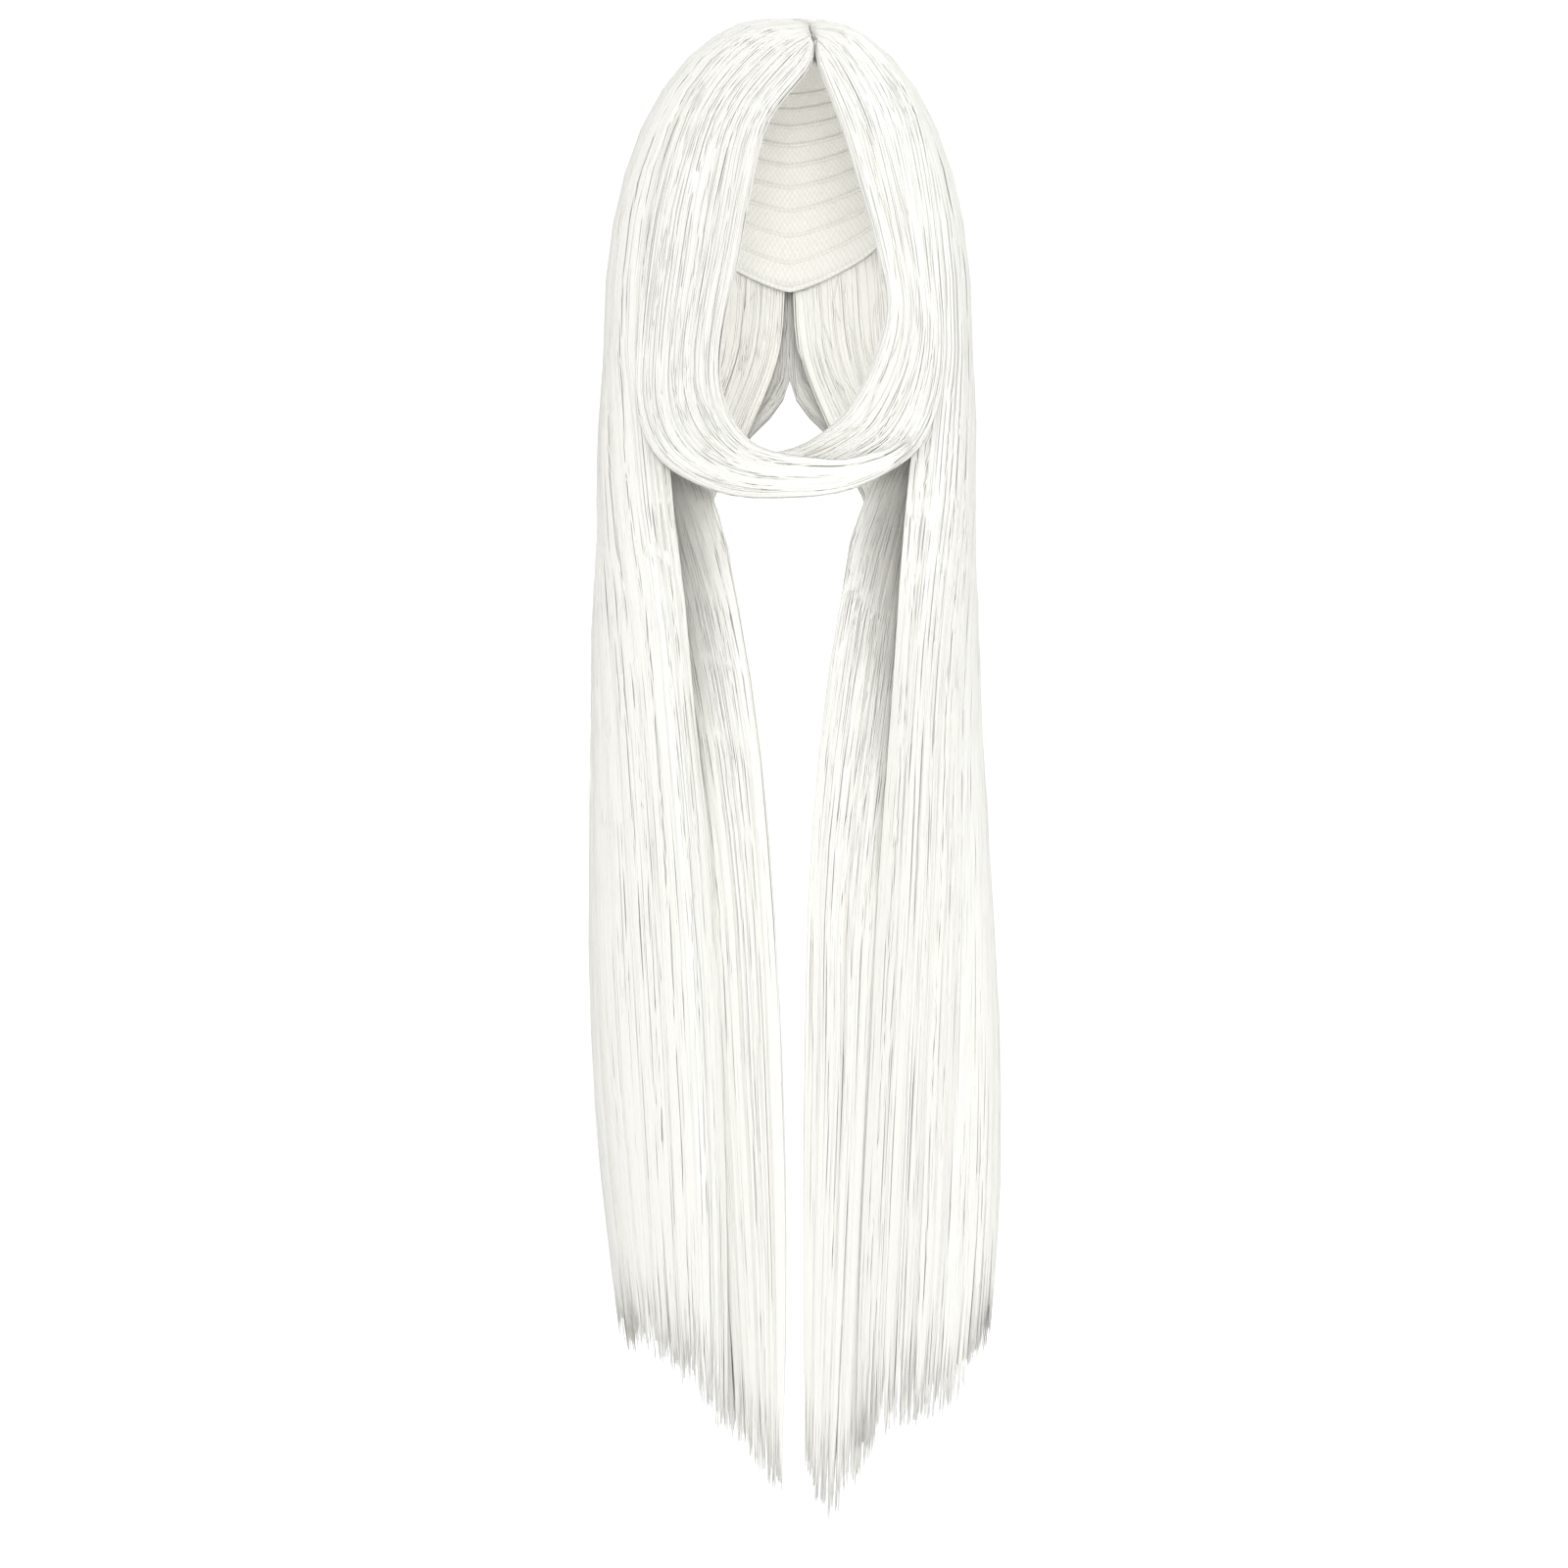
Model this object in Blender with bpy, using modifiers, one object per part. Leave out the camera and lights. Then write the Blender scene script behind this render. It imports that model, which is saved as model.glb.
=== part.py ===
# A very long straight wig whose front locks cross under the chin, as separate solids.
import math

import bpy
from mathutils import Vector

# Driving sizes, in metres. The wearer faces -Y, and left is the viewer's left, at -X.
HEAD_WIDTH = 0.155       # the head inside the cap, side to side
HEAD_DEPTH = 0.195       # forehead to back of head
HEAD_RISE = 0.100        # from the head's widest ring up to its crown
CAP_WALL = 0.0015
CLEARANCE = 0.0006       # kept between neighbouring solids
OUTER_THICK = 0.0133     # top layer of hair
UNDER_THICK = 0.009      # layer that hangs from the nape
LOCK_THICK = 0.007       # front locks
SIDE_BODY = 0.0225       # how far the hair stands off the head at the sides, beyond its thickness
BACK_BODY = 0.0150       # the same at the back
LOOP_FALL = 0.095        # from where the hair leaves the head down to the loop's underside
HAIR_DROP = 0.929        # from the crown of the head down to the longest tip
PART_GAP = 0.0044        # width of the parting
GROOVE = 0.0022          # depth of the dips between locks

# Sizes that follow from them
SEAT = CAP_WALL + 2 * CLEARANCE
CROWN = SEAT + OUTER_THICK
HALF_WIDTH = HEAD_WIDTH / 2 + CROWN + SIDE_BODY
HALF_DEPTH = HEAD_DEPTH / 2 + CROWN + BACK_BODY
HEAD_FALL = 1.97 * HEAD_RISE
LOOP_DROP = HEAD_FALL + LOOP_FALL

ROUNDNESS = 2.25         # exponent of the curve that the hair follows over the head
LOW_RISE = 1.3           # the head's taper below its widest ring, as a share of HEAD_RISE

# The cap's lower edge: degrees round from the forehead, drop as a share of HEAD_RISE
CAP_EDGE = [
    (0, 0.15), (30, 0.30), (60, 0.85), (85, 1.25), (110, 1.08), (145, 1.32), (180, 1.50),
]

# The parting from the forehead back: depth as a share of HEAD_DEPTH, then across of HEAD_WIDTH
PARTING = [(-0.350, 0.100), (-0.256, 0.088), (-0.103, 0.008), (0.154, 0.000)]
FRONT_ROOTS = -0.236     # on the parting, where the top layer begins behind the front locks
BAND_ROOTS = (-0.340, -0.229)    # on the parting, from the foremost lock back to the last
WHORL = 0.154            # the parting's rear end

# Levels count 0 at the crown, 1 where the hair leaves the head, 2 at the loop's underside and
# 3 at the longest tip. Across is a share of HALF_WIDTH as (left, right), depth of HALF_DEPTH.
# Each row gives the four places that a layer runs through, from its front edge round the side
# to its rear edge.
OUTER_LEVELS = [
    # level   front edge           side                 rear                 back edge
    (1.00, (0.76, 0.76, -0.45), (1.01, 0.99, -0.08), (0.80, 0.79, 0.61), (0.01, 0.01, 1.00)),
    (1.28, (0.72, 0.72, -0.45), (1.02, 1.00, -0.10), (0.84, 0.83, 0.56), (0.07, 0.07, 0.97)),
    (1.56, (0.68, 0.68, -0.46), (1.03, 1.00, -0.14), (0.89, 0.87, 0.49), (0.20, 0.20, 0.88)),
    (2.03, (0.62, 0.62, -0.59), (1.01, 0.98, -0.28), (0.98, 0.94, 0.32), (0.50, 0.50, 0.64)),
    (2.10, (0.57, 0.59, -0.59), (0.98, 0.95, -0.36), (1.05, 1.00, 0.17), (0.66, 0.66, 0.48)),
    (2.19, (0.53, 0.56, -0.54), (0.94, 0.92, -0.42), (1.07, 1.03, 0.04), (0.78, 0.78, 0.35)),
    (2.37, (0.46, 0.52, -0.48), (0.88, 0.90, -0.44), (1.09, 1.09, -0.10), (0.88, 0.90, 0.21)),
    (2.56, (0.41, 0.47, -0.45), (0.82, 0.87, -0.43), (1.06, 1.13, -0.17), (0.91, 0.97, 0.12)),
    (2.75, (0.38, 0.42, -0.42), (0.75, 0.83, -0.41), (0.97, 1.11, -0.20), (0.87, 0.98, 0.06)),
    (3.00, (0.36, 0.38, -0.40), (0.64, 0.74, -0.39), (0.80, 0.98, -0.21), (0.72, 0.86, 0.02)),
]
UNDER_LEVELS = [
    (1.00, (0.74, 0.74, -0.06), (0.68, 0.68, 0.33), (0.44, 0.44, 0.64), (0.08, 0.08, 0.78)),
    (1.50, (0.61, 0.61, -0.17), (0.70, 0.70, 0.15), (0.57, 0.57, 0.48), (0.24, 0.24, 0.66)),
    (2.03, (0.39, 0.36, -0.39), (0.62, 0.60, -0.14), (0.70, 0.69, 0.17), (0.52, 0.50, 0.40)),
    (2.10, (0.30, 0.28, -0.43), (0.52, 0.51, -0.32), (0.68, 0.67, -0.06), (0.58, 0.57, 0.22)),
    (2.19, (0.21, 0.20, -0.43), (0.42, 0.43, -0.42), (0.62, 0.63, -0.26), (0.60, 0.61, 0.10)),
    (2.37, (0.11, 0.11, -0.42), (0.29, 0.31, -0.45), (0.48, 0.53, -0.40), (0.58, 0.63, -0.12)),
    (2.56, (0.05, 0.08, -0.40), (0.23, 0.28, -0.43), (0.41, 0.46, -0.39), (0.52, 0.58, -0.17)),
    (2.75, (0.03, 0.075, -0.39), (0.18, 0.24, -0.41), (0.34, 0.41, -0.37), (0.45, 0.52, -0.19)),
    (3.00, (0.04, 0.08, -0.38), (0.14, 0.19, -0.39), (0.27, 0.35, -0.35), (0.37, 0.44, -0.20)),
]

# The under layer's sewn edge on the cap: its level, its thickness as a share of UNDER_THICK,
# and where its four places lie, in degrees from the ear round to the middle of the nape
NAPE_LEVEL = 0.64
NAPE_THICK = 0.6
NAPE_PLACES = (0, 30, 60, 88)

GROOVE_SLOPE = 0.11      # the most that a dip may be, as a share of its lock's width
EDGE_THICK = 0.42        # how thick a layer is at its front and rear edges, as a share
EDGE_SHARE = 0.22        # how much of a layer's width each thinner edge takes
TIP_THINNING = 0.50      # how much thickness a layer loses from the loop down to its tips

# Level of each lock's tip, from the layer's front edge round to its rear edge
OUTER_TIPS = {
    "left": (2.91, 2.88, 2.865, 2.85, 2.838, 2.826, 2.815, 2.81, 2.815, 2.825, 2.835, 2.845),
    "right": (2.93, 2.915, 2.91, 2.905, 2.90, 2.885, 2.845, 2.812, 2.815, 2.83, 2.845, 2.855),
}
UNDER_TIPS = {
    "left": (2.97, 2.965, 2.95, 2.93, 2.92, 2.90),
    "right": (2.955, 2.99, 3.00, 2.97, 2.965, 2.94),
}

# Levels that have a row of points, above where each lock narrows to its tip
OUTER_ROWS = (1.0, 1.28, 1.56, 1.80, 2.03, 2.15, 2.30, 2.47, 2.64)
UNDER_ROWS = (0.64, 0.82, 1.0, 1.25, 1.5, 1.77, 2.03, 2.15, 2.30, 2.47, 2.70)
HEAD_ROWS = (0, 10, 20, 31, 42, 53, 64, 76)     # degrees of the curve over the head
LOCK_COLUMNS = (0.03, 0.5, 0.97)                # columns of points across a lock

# How a lock narrows: levels above its tip, then its width as a share of the lock's own
TIP_ROWS = [(0.10, 0.96), (0.05, 0.72), (0.02, 0.42), (0.00, 0.12)]

# The front locks share one band a side, cut lengthwise into LOCKS_A_SIDE. Each row gives
# the band's inner and outer edge as across (of HALF_WIDTH), depth (of HALF_DEPTH), level.
LOCKS_A_SIDE = 3
LOCK_SIDES = 8
LOCK_STEPS = 26
FRONT_BANDS = {
    "left": [
        ((-0.02, -0.61, 0.13), (0.24, -0.415, 0.02)),
        ((0.13, -0.70, 0.30), (0.54, -0.445, 0.23)),
        ((0.22, -0.73, 0.51), (0.70, -0.47, 0.52)),
        ((0.29, -0.74, 0.73), (0.77, -0.48, 0.78)),
        ((0.37, -0.73, 0.96), (0.80, -0.49, 1.02)),
        ((0.385, -0.72, 1.25), (0.80, -0.52, 1.41)),
        ((0.33, -0.74, 1.48), (0.71, -0.57, 1.70)),
        ((0.22, -0.75, 1.65), (0.53, -0.65, 1.88)),
        ((0.07, -0.76, 1.73), (0.28, -0.72, 1.99)),
        ((-0.12, -0.75, 1.76), (-0.03, -0.75, 2.00)),
        ((-0.28, -0.73, 1.77), (-0.25, -0.73, 1.97)),
        ((-0.42, -0.70, 1.73), (-0.43, -0.69, 1.89)),
        ((-0.53, -0.66, 1.69), (-0.55, -0.65, 1.80)),
    ],
    "right": [
        ((0.18, -0.60, 0.12), (0.38, -0.415, 0.02)),
        ((0.28, -0.68, 0.30), (0.65, -0.445, 0.23)),
        ((0.39, -0.71, 0.51), (0.76, -0.465, 0.52)),
        ((0.49, -0.69, 0.73), (0.80, -0.47, 0.78)),
        ((0.53, -0.67, 0.90), (0.82, -0.475, 0.99)),
        ((0.46, -0.69, 1.12), (0.785, -0.49, 1.36)),
        ((0.34, -0.70, 1.41), (0.68, -0.54, 1.66)),
        ((0.23, -0.68, 1.55), (0.49, -0.59, 1.84)),
        ((0.05, -0.62, 1.68), (0.25, -0.61, 1.96)),
        ((-0.13, -0.60, 1.72), (0.00, -0.59, 1.97)),
        ((-0.28, -0.58, 1.68), (-0.20, -0.58, 1.92)),
        ((-0.41, -0.53, 1.60), (-0.38, -0.53, 1.75)),
        ((-0.48, -0.47, 1.53), (-0.46, -0.47, 1.62)),
    ],
}
BAND_THICKS = (0.7, 1.0, 1.0, 1.0, 1.0, 1.0, 1.0, 1.0, 1.0, 0.95, 0.8, 0.6, 0.4, 0.25)

HAIR_COLOURS = {         # linear base colours, warm white
    "wig_cap": (0.80, 0.79, 0.75),
    "outer": (0.86, 0.86, 0.82),
    "under": (0.82, 0.81, 0.76),
    "front": (0.88, 0.88, 0.84),
}
SIGNS = {"left": -1, "right": 1}
COLUMN = {"left": 0, "right": 1}


def clear_scene():
    for thing in list(bpy.data.objects):
        bpy.data.objects.remove(thing)


def make_material(name, colour, roughness):
    material = bpy.data.materials.new(name)
    material.use_nodes = True
    shader = material.node_tree.nodes["Principled BSDF"]
    shader.inputs["Base Color"].default_value = (*colour, 1.0)
    shader.inputs["Roughness"].default_value = roughness
    shader.inputs["Metallic"].default_value = 0.0
    return material


def add_object(name, points, faces, material, collection):
    mesh = bpy.data.meshes.new(name)
    mesh.from_pydata(points, [], faces)
    mesh.materials.append(material)
    mesh.shade_smooth()
    thing = bpy.data.objects.new(name, mesh)
    collection.objects.link(thing)
    return thing


def blend(rows, place):
    """Smooth curve through equal-spaced rows of numbers, read at a place counted in rows."""
    last = len(rows) - 1
    start = min(int(place), last - 1)
    t = place - start
    before, here = rows[max(start - 1, 0)], rows[start]
    there, after = rows[start + 1], rows[min(start + 2, last)]
    return [
        b + 0.5 * t * (c - a + t * (2 * a - 5 * b + 4 * c - d + t * (3 * (b - c) + d - a)))
        for a, b, c, d in zip(before, here, there, after)
    ]


def row_place(keys, key):
    """Where a key lies among rising keys, counted in rows."""
    for index in range(len(keys) - 1):
        if key <= keys[index + 1]:
            return index + max(0.0, (key - keys[index]) / (keys[index + 1] - keys[index]))
    return len(keys) - 1.0


def smooth_step(value):
    value = min(max(value, 0.0), 1.0)
    return value * value * (3 - 2 * value)


def level_height(level):
    if level <= 1:
        return -HEAD_FALL * level
    if level <= 2:
        return -HEAD_FALL - LOOP_FALL * (level - 1)
    return -LOOP_DROP - (HAIR_DROP - LOOP_DROP) * (level - 2)


def crown_height(depth):
    """Height of the hair along the parting, an even thickness over the head's profile."""
    share = depth / (HEAD_DEPTH / 2 + CROWN)
    return (HEAD_RISE + CROWN) * math.sqrt(1 - share * share) - HEAD_RISE


def parting_point(share):
    """Point of the parting at a depth given as a share of HEAD_DEPTH."""
    depths = [row[0] for row in PARTING]
    across = blend(PARTING, row_place(depths, share))[1]
    depth = share * HEAD_DEPTH
    return Vector((across * HEAD_WIDTH, depth, crown_height(depth)))


def cap_drop(angle):
    degrees = abs(math.degrees(angle))
    return blend(CAP_EDGE, row_place([row[0] for row in CAP_EDGE], degrees))[1]


def head_reach(drop):
    """The head's width at a drop given in HEAD_RISE, as a share of its widest."""
    if drop <= 1:
        return math.sqrt(1 - (1 - drop) ** 2)
    return math.sqrt(1 - ((drop - 1) / LOW_RISE) ** 2)


def make_cap(material, collection):
    """Open dome round the head, lowest at the nape and the ears, thickened outwards."""
    columns, rows = 30, 7
    points = [(0.0, 0.0, 0.0)]
    for row in range(1, rows + 1):
        for column in range(columns):
            angle = 2 * math.pi * column / columns
            turned = angle if angle <= math.pi else angle - 2 * math.pi
            drop = cap_drop(turned) * (row / rows) ** 2
            reach = head_reach(drop)
            points.append((
                math.sin(angle) * reach * HEAD_WIDTH / 2,
                -math.cos(angle) * reach * HEAD_DEPTH / 2,
                -drop * HEAD_RISE,
            ))
    faces = [(0, 1 + column, 1 + (column + 1) % columns) for column in range(columns)]
    for row in range(rows - 1):
        for column in range(columns):
            here = 1 + row * columns + column
            there = 1 + row * columns + (column + 1) % columns
            faces.append((here, here + columns, there + columns, there))
    cap = add_object("wig_cap", points, faces, material, collection)
    shell = cap.modifiers.new("wall", "SOLIDIFY")
    shell.thickness = CAP_WALL
    shell.offset = 1.0
    return cap


def layer_rows(levels, side):
    """A table of levels in metres: level, then across and depth of each of the four places."""
    rows = []
    for level, *spots in levels:
        row = [level]
        for spot in spots:
            row += [spot[COLUMN[side]] * HALF_WIDTH, spot[2] * HALF_DEPTH]
        rows.append(row)
    return rows


def nape_row():
    """Where the under layer is sewn on, against the outside of the cap."""
    reach = head_reach(NAPE_LEVEL * HEAD_FALL / HEAD_RISE)
    stand = CAP_WALL + CLEARANCE + UNDER_THICK * NAPE_THICK
    row = [NAPE_LEVEL]
    for degrees in NAPE_PLACES:
        angle = math.radians(degrees)
        row.append(math.cos(angle) * (HEAD_WIDTH / 2 * reach + stand))
        row.append(math.sin(angle) * (HEAD_DEPTH / 2 * reach + stand))
    return row


def layer_section(rows, side, level, turn):
    """Point of a hanging layer at a level; turn runs 0 to 1 from its front to its rear edge."""
    row = blend(rows, row_place([row[0] for row in rows], level))
    t = 3 * turn
    shares = (
        -(t - 1) * (t - 2) * (t - 3) / 6,
        t * (t - 2) * (t - 3) / 2,
        -t * (t - 1) * (t - 3) / 2,
        t * (t - 1) * (t - 2) / 6,
    )
    across = sum(share * row[1 + 2 * spot] for spot, share in enumerate(shares))
    depth = sum(share * row[2 + 2 * spot] for spot, share in enumerate(shares))
    return Vector((SIGNS[side] * across, depth, level_height(level)))


def outer_root(side, turn):
    """Root of the top layer, along its side of the parting, which closes towards the whorl."""
    root = parting_point(FRONT_ROOTS + (WHORL - FRONT_ROOTS) * turn)
    closing = 1 - 0.5 * smooth_step(4 * turn - 3)
    root.x += SIGNS[side] * PART_GAP / 2 * closing
    return root


def over_head(root, brim, degrees):
    """Point on the rounded way from a root on the parting down to where the hair hangs."""
    angle = math.radians(degrees)
    out = math.sin(angle) ** (2 / ROUNDNESS)
    up = math.cos(angle) ** (2 / ROUNDNESS)
    return Vector((
        root.x + (brim.x - root.x) * out,
        root.y + (brim.y - root.y) * out,
        brim.z + (root.z - brim.z) * up,
    ))


def outer_point(side, turn, row):
    """Row is an angle over the head as ("head", degrees), or ("level", level) below it."""
    kind, value = row
    rows = layer_rows(OUTER_LEVELS, side)
    if kind == "level":
        return layer_section(rows, side, value, turn)
    return over_head(outer_root(side, turn), layer_section(rows, side, 1.0, turn), value)


def under_point(side, turn, row):
    rows = [nape_row()] + layer_rows(UNDER_LEVELS, side)
    return layer_section(rows, side, row[1], turn)


def lock_turns(locks, lock, narrow):
    """Places of a lock's columns across the layer, drawn together towards its middle."""
    middle = (lock + 0.5) / locks
    return [middle + (column - 0.5) * narrow / locks for column in LOCK_COLUMNS]


def make_layer(name, side, point_at, rows, tips, thick, root_share, material, collection):
    """A sheet of locks side by side, parted where they narrow to their tips."""
    locks = len(tips)
    grid, weights = [], []

    def thickness_at(turn, level, row):
        edge = smooth_step(min(turn, 1 - turn) / EDGE_SHARE)
        hang = 1.0 - TIP_THINNING * smooth_step(level - 2)
        root = root_share + (1 - root_share) * smooth_step(row / 4)
        return (EDGE_THICK + (1 - EDGE_THICK) * edge) * hang * root

    def add(turn, row, place, width, column):
        point = point_at(side, turn, place)
        low, high = max(turn - 0.01, 0.0), min(turn + 0.01, 1.0)
        along = (point_at(side, high, place) - point_at(side, low, place)) / (high - low)
        inward = Vector((-along.y, along.x, 0.0)).normalized() * SIGNS[side]
        dip = min(GROOVE, GROOVE_SLOPE * along.length / locks) * (column != 1)
        dip *= width * smooth_step((row + 1) / 6)
        grid.append(point + inward * dip)
        level = place[1] if place[0] == "level" else 0.0
        weights.append(thickness_at(turn, level, row) * (0.12 + 0.88 * width))
        return len(grid) - 1

    def add_strip(upper, lower):
        for here in range(len(upper) - 1):
            faces.append((upper[here], upper[here + 1], lower[here + 1], lower[here]))

    faces = []
    above = None
    for row, place in enumerate(rows):
        across = [
            add(turn, row, place, 1.0, column)
            for lock in range(locks)
            for column, turn in enumerate(lock_turns(locks, lock, 1.0))
        ]
        if above:
            add_strip(above, across)
        above = across
    columns = len(LOCK_COLUMNS)
    for lock, tip in enumerate(tips):
        upper = above[columns * lock:columns * (lock + 1)]
        for rise, width in TIP_ROWS:
            turns = lock_turns(locks, lock, width)
            place = ("level", tip - rise)
            lower = [add(turn, len(rows), place, width, column) for column, turn in enumerate(turns)]
            add_strip(upper, lower)
            upper = lower
    if side == "right":
        faces = [tuple(reversed(face)) for face in faces]
    sheet = add_object(name, grid, faces, material, collection)
    group = sheet.vertex_groups.new(name="thickness")
    for index, weight in enumerate(weights):
        group.add([index], weight, "REPLACE")
    shell = sheet.modifiers.new("hair thickness", "SOLIDIFY")
    shell.thickness = thick
    shell.offset = -1.0
    shell.vertex_group = "thickness"
    return sheet


def make_outer_hair(side, material, collection):
    rows = [("head", degrees) for degrees in HEAD_ROWS]
    rows += [("level", level) for level in OUTER_ROWS]
    tips = OUTER_TIPS[side]
    return make_layer(
        "outer_hair_" + side, side, outer_point, rows, tips, OUTER_THICK, 1.0, material, collection)


def make_under_hair(side, material, collection):
    rows = [("level", level) for level in UNDER_ROWS]
    tips = UNDER_TIPS[side]
    return make_layer(
        "under_hair_" + side, side, under_point, rows, tips, UNDER_THICK, NAPE_THICK, material, collection)


def band_rows(side):
    """Rows of a front band: inner edge, outer edge, thickness share, in world metres."""
    edges = []
    for share in BAND_ROOTS:
        root = parting_point(share)
        root.x += SIGNS[side] * 3 * CLEARANCE
        root.z -= LOCK_THICK / 2
        edges.append(root)
    rows = [[*edges[0], *edges[1], BAND_THICKS[0]]]
    for (inner, outer), share in zip(FRONT_BANDS[side], BAND_THICKS[1:]):
        row = []
        for across, depth, level in (inner, outer):
            row += [SIGNS[side] * across * HALF_WIDTH, depth * HALF_DEPTH, level_height(level)]
        rows.append(row + [share])
    return rows


def band_at(rows, place, start, end):
    """Middle, half-width vector and half-thickness of one lock of a band."""
    numbers = blend(rows, place)
    inner, outer = Vector(numbers[0:3]), Vector(numbers[3:6])
    middle = inner.lerp(outer, (start + end) / 2)
    return middle, (outer - inner) * (end - start) / 2, numbers[6] * LOCK_THICK / 2


def make_front_lock(side, number, material, collection):
    """A flattened lock lofted along its share of the band, from the parting to a thin end."""
    rows = band_rows(side)
    last = len(rows) - 1
    start, end = number / LOCKS_A_SIDE, (number + 1) / LOCKS_A_SIDE
    points, faces = [], []
    for step in range(LOCK_STEPS + 1):
        place = last * step / LOCK_STEPS
        middle, half, thick = band_at(rows, place, start, end)
        ahead = band_at(rows, min(place + 0.02, last), start, end)[0]
        behind = band_at(rows, max(place - 0.02, 0.0), start, end)[0]
        half -= half.normalized() * CLEARANCE / 2
        face_out = (ahead - behind).cross(half).normalized() * thick
        for corner in range(LOCK_SIDES):
            angle = 2 * math.pi * corner / LOCK_SIDES
            points.append(middle + half * math.cos(angle) + face_out * math.sin(angle))
    for step in range(LOCK_STEPS):
        for corner in range(LOCK_SIDES):
            here = step * LOCK_SIDES + corner
            there = step * LOCK_SIDES + (corner + 1) % LOCK_SIDES
            faces.append((here, there, there + LOCK_SIDES, here + LOCK_SIDES))
    faces.append(tuple(reversed(range(LOCK_SIDES))))
    faces.append(tuple(range(LOCK_STEPS * LOCK_SIDES, (LOCK_STEPS + 1) * LOCK_SIDES)))
    name = "front_lock_" + side + "_" + str(LOCKS_A_SIDE - number)
    return add_object(name, points, faces, material, collection)


def main():
    clear_scene()
    collection = bpy.data.collections.new("long_straight_wig")
    bpy.context.scene.collection.children.link(collection)
    make_cap(make_material("cap_net", HAIR_COLOURS["wig_cap"], 0.8), collection)
    outer = make_material("outer_hair", HAIR_COLOURS["outer"], 0.45)
    under = make_material("under_hair", HAIR_COLOURS["under"], 0.5)
    front = make_material("front_hair", HAIR_COLOURS["front"], 0.45)
    for side in SIGNS:
        make_outer_hair(side, outer, collection)
        make_under_hair(side, under, collection)
        for number in range(LOCKS_A_SIDE):
            make_front_lock(side, number, front, collection)


main()
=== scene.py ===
# Looks of a very long straight white wig: net cap, two layers of hair a side, and front locks
# that cross in a low loop. Everything is in metres; left is the viewer's left, at -X.
import math

import bpy
import numpy as np
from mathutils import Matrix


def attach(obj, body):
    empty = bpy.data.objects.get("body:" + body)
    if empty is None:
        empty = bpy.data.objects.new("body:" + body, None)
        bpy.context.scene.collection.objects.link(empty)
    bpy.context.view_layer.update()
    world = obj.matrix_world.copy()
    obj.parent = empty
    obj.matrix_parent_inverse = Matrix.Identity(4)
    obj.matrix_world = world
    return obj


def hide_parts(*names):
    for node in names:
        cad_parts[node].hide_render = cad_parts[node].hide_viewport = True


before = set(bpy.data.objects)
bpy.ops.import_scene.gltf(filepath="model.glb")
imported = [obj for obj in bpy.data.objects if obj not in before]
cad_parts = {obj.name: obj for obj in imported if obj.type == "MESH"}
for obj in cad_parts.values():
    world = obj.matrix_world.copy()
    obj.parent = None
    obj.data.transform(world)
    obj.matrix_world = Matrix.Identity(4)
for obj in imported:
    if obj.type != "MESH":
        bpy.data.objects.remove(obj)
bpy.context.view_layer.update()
print("frame loaded:", sorted(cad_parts))

# The wig's own sizes, the same as its solids have
wig = {
    "headWidth": 0.155, "headDepth": 0.195, "headRise": 0.100, "capWall": 0.0015,
    "clearance": 0.0006, "outerThick": 0.0133, "underThick": 0.009, "lockThick": 0.007,
    "sideBody": 0.0225, "backBody": 0.0150,
    "loopFall": 0.095,        # from where the hair hangs free to the loop's underside
    "hairDrop": 0.929,        # from the crown to the longest tip
    "leavesAt": 1.97,         # how many rises below the crown the hair hangs free
    "headRun": 0.30,          # length of hair down to there
    "partGap": 0.0012,        # narrower than between the solids, so that the roots nearly meet
    "roundness": 2.25,        # how square the dome of hair is: 2 is a circle
    "lowRise": 1.3,           # how slowly the cap's form narrows below its widest place
    # depths on the parting, as shares of headDepth
    "frontRoots": -0.236, "whorl": 0.154, "bandRoots": (-0.340, -0.229),
}
seat = wig["capWall"] + 2 * wig["clearance"]
crown = seat + wig["outerThick"]
halfWidth = wig["headWidth"] / 2 + crown + wig["sideBody"]
halfDepth = wig["headDepth"] / 2 + crown + wig["backBody"]
headFall = wig["leavesAt"] * wig["headRise"]
loopDrop = headFall + wig["loopFall"]
signs = {"left": -1, "right": 1}
sideColumn = {"left": 0, "right": 1}

# The cap's edge: degrees round from the front, drop as a share of headRise
capEdge = np.array([
    (0, 0.15), (30, 0.30), (60, 0.85), (85, 1.25), (110, 1.08), (145, 1.32), (180, 1.50),
])
# The parting from the front back: depth as a share of headDepth, across of headWidth
parting = np.array([(-0.350, 0.100), (-0.256, 0.088), (-0.103, 0.008), (0.154, 0.000)])

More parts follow.
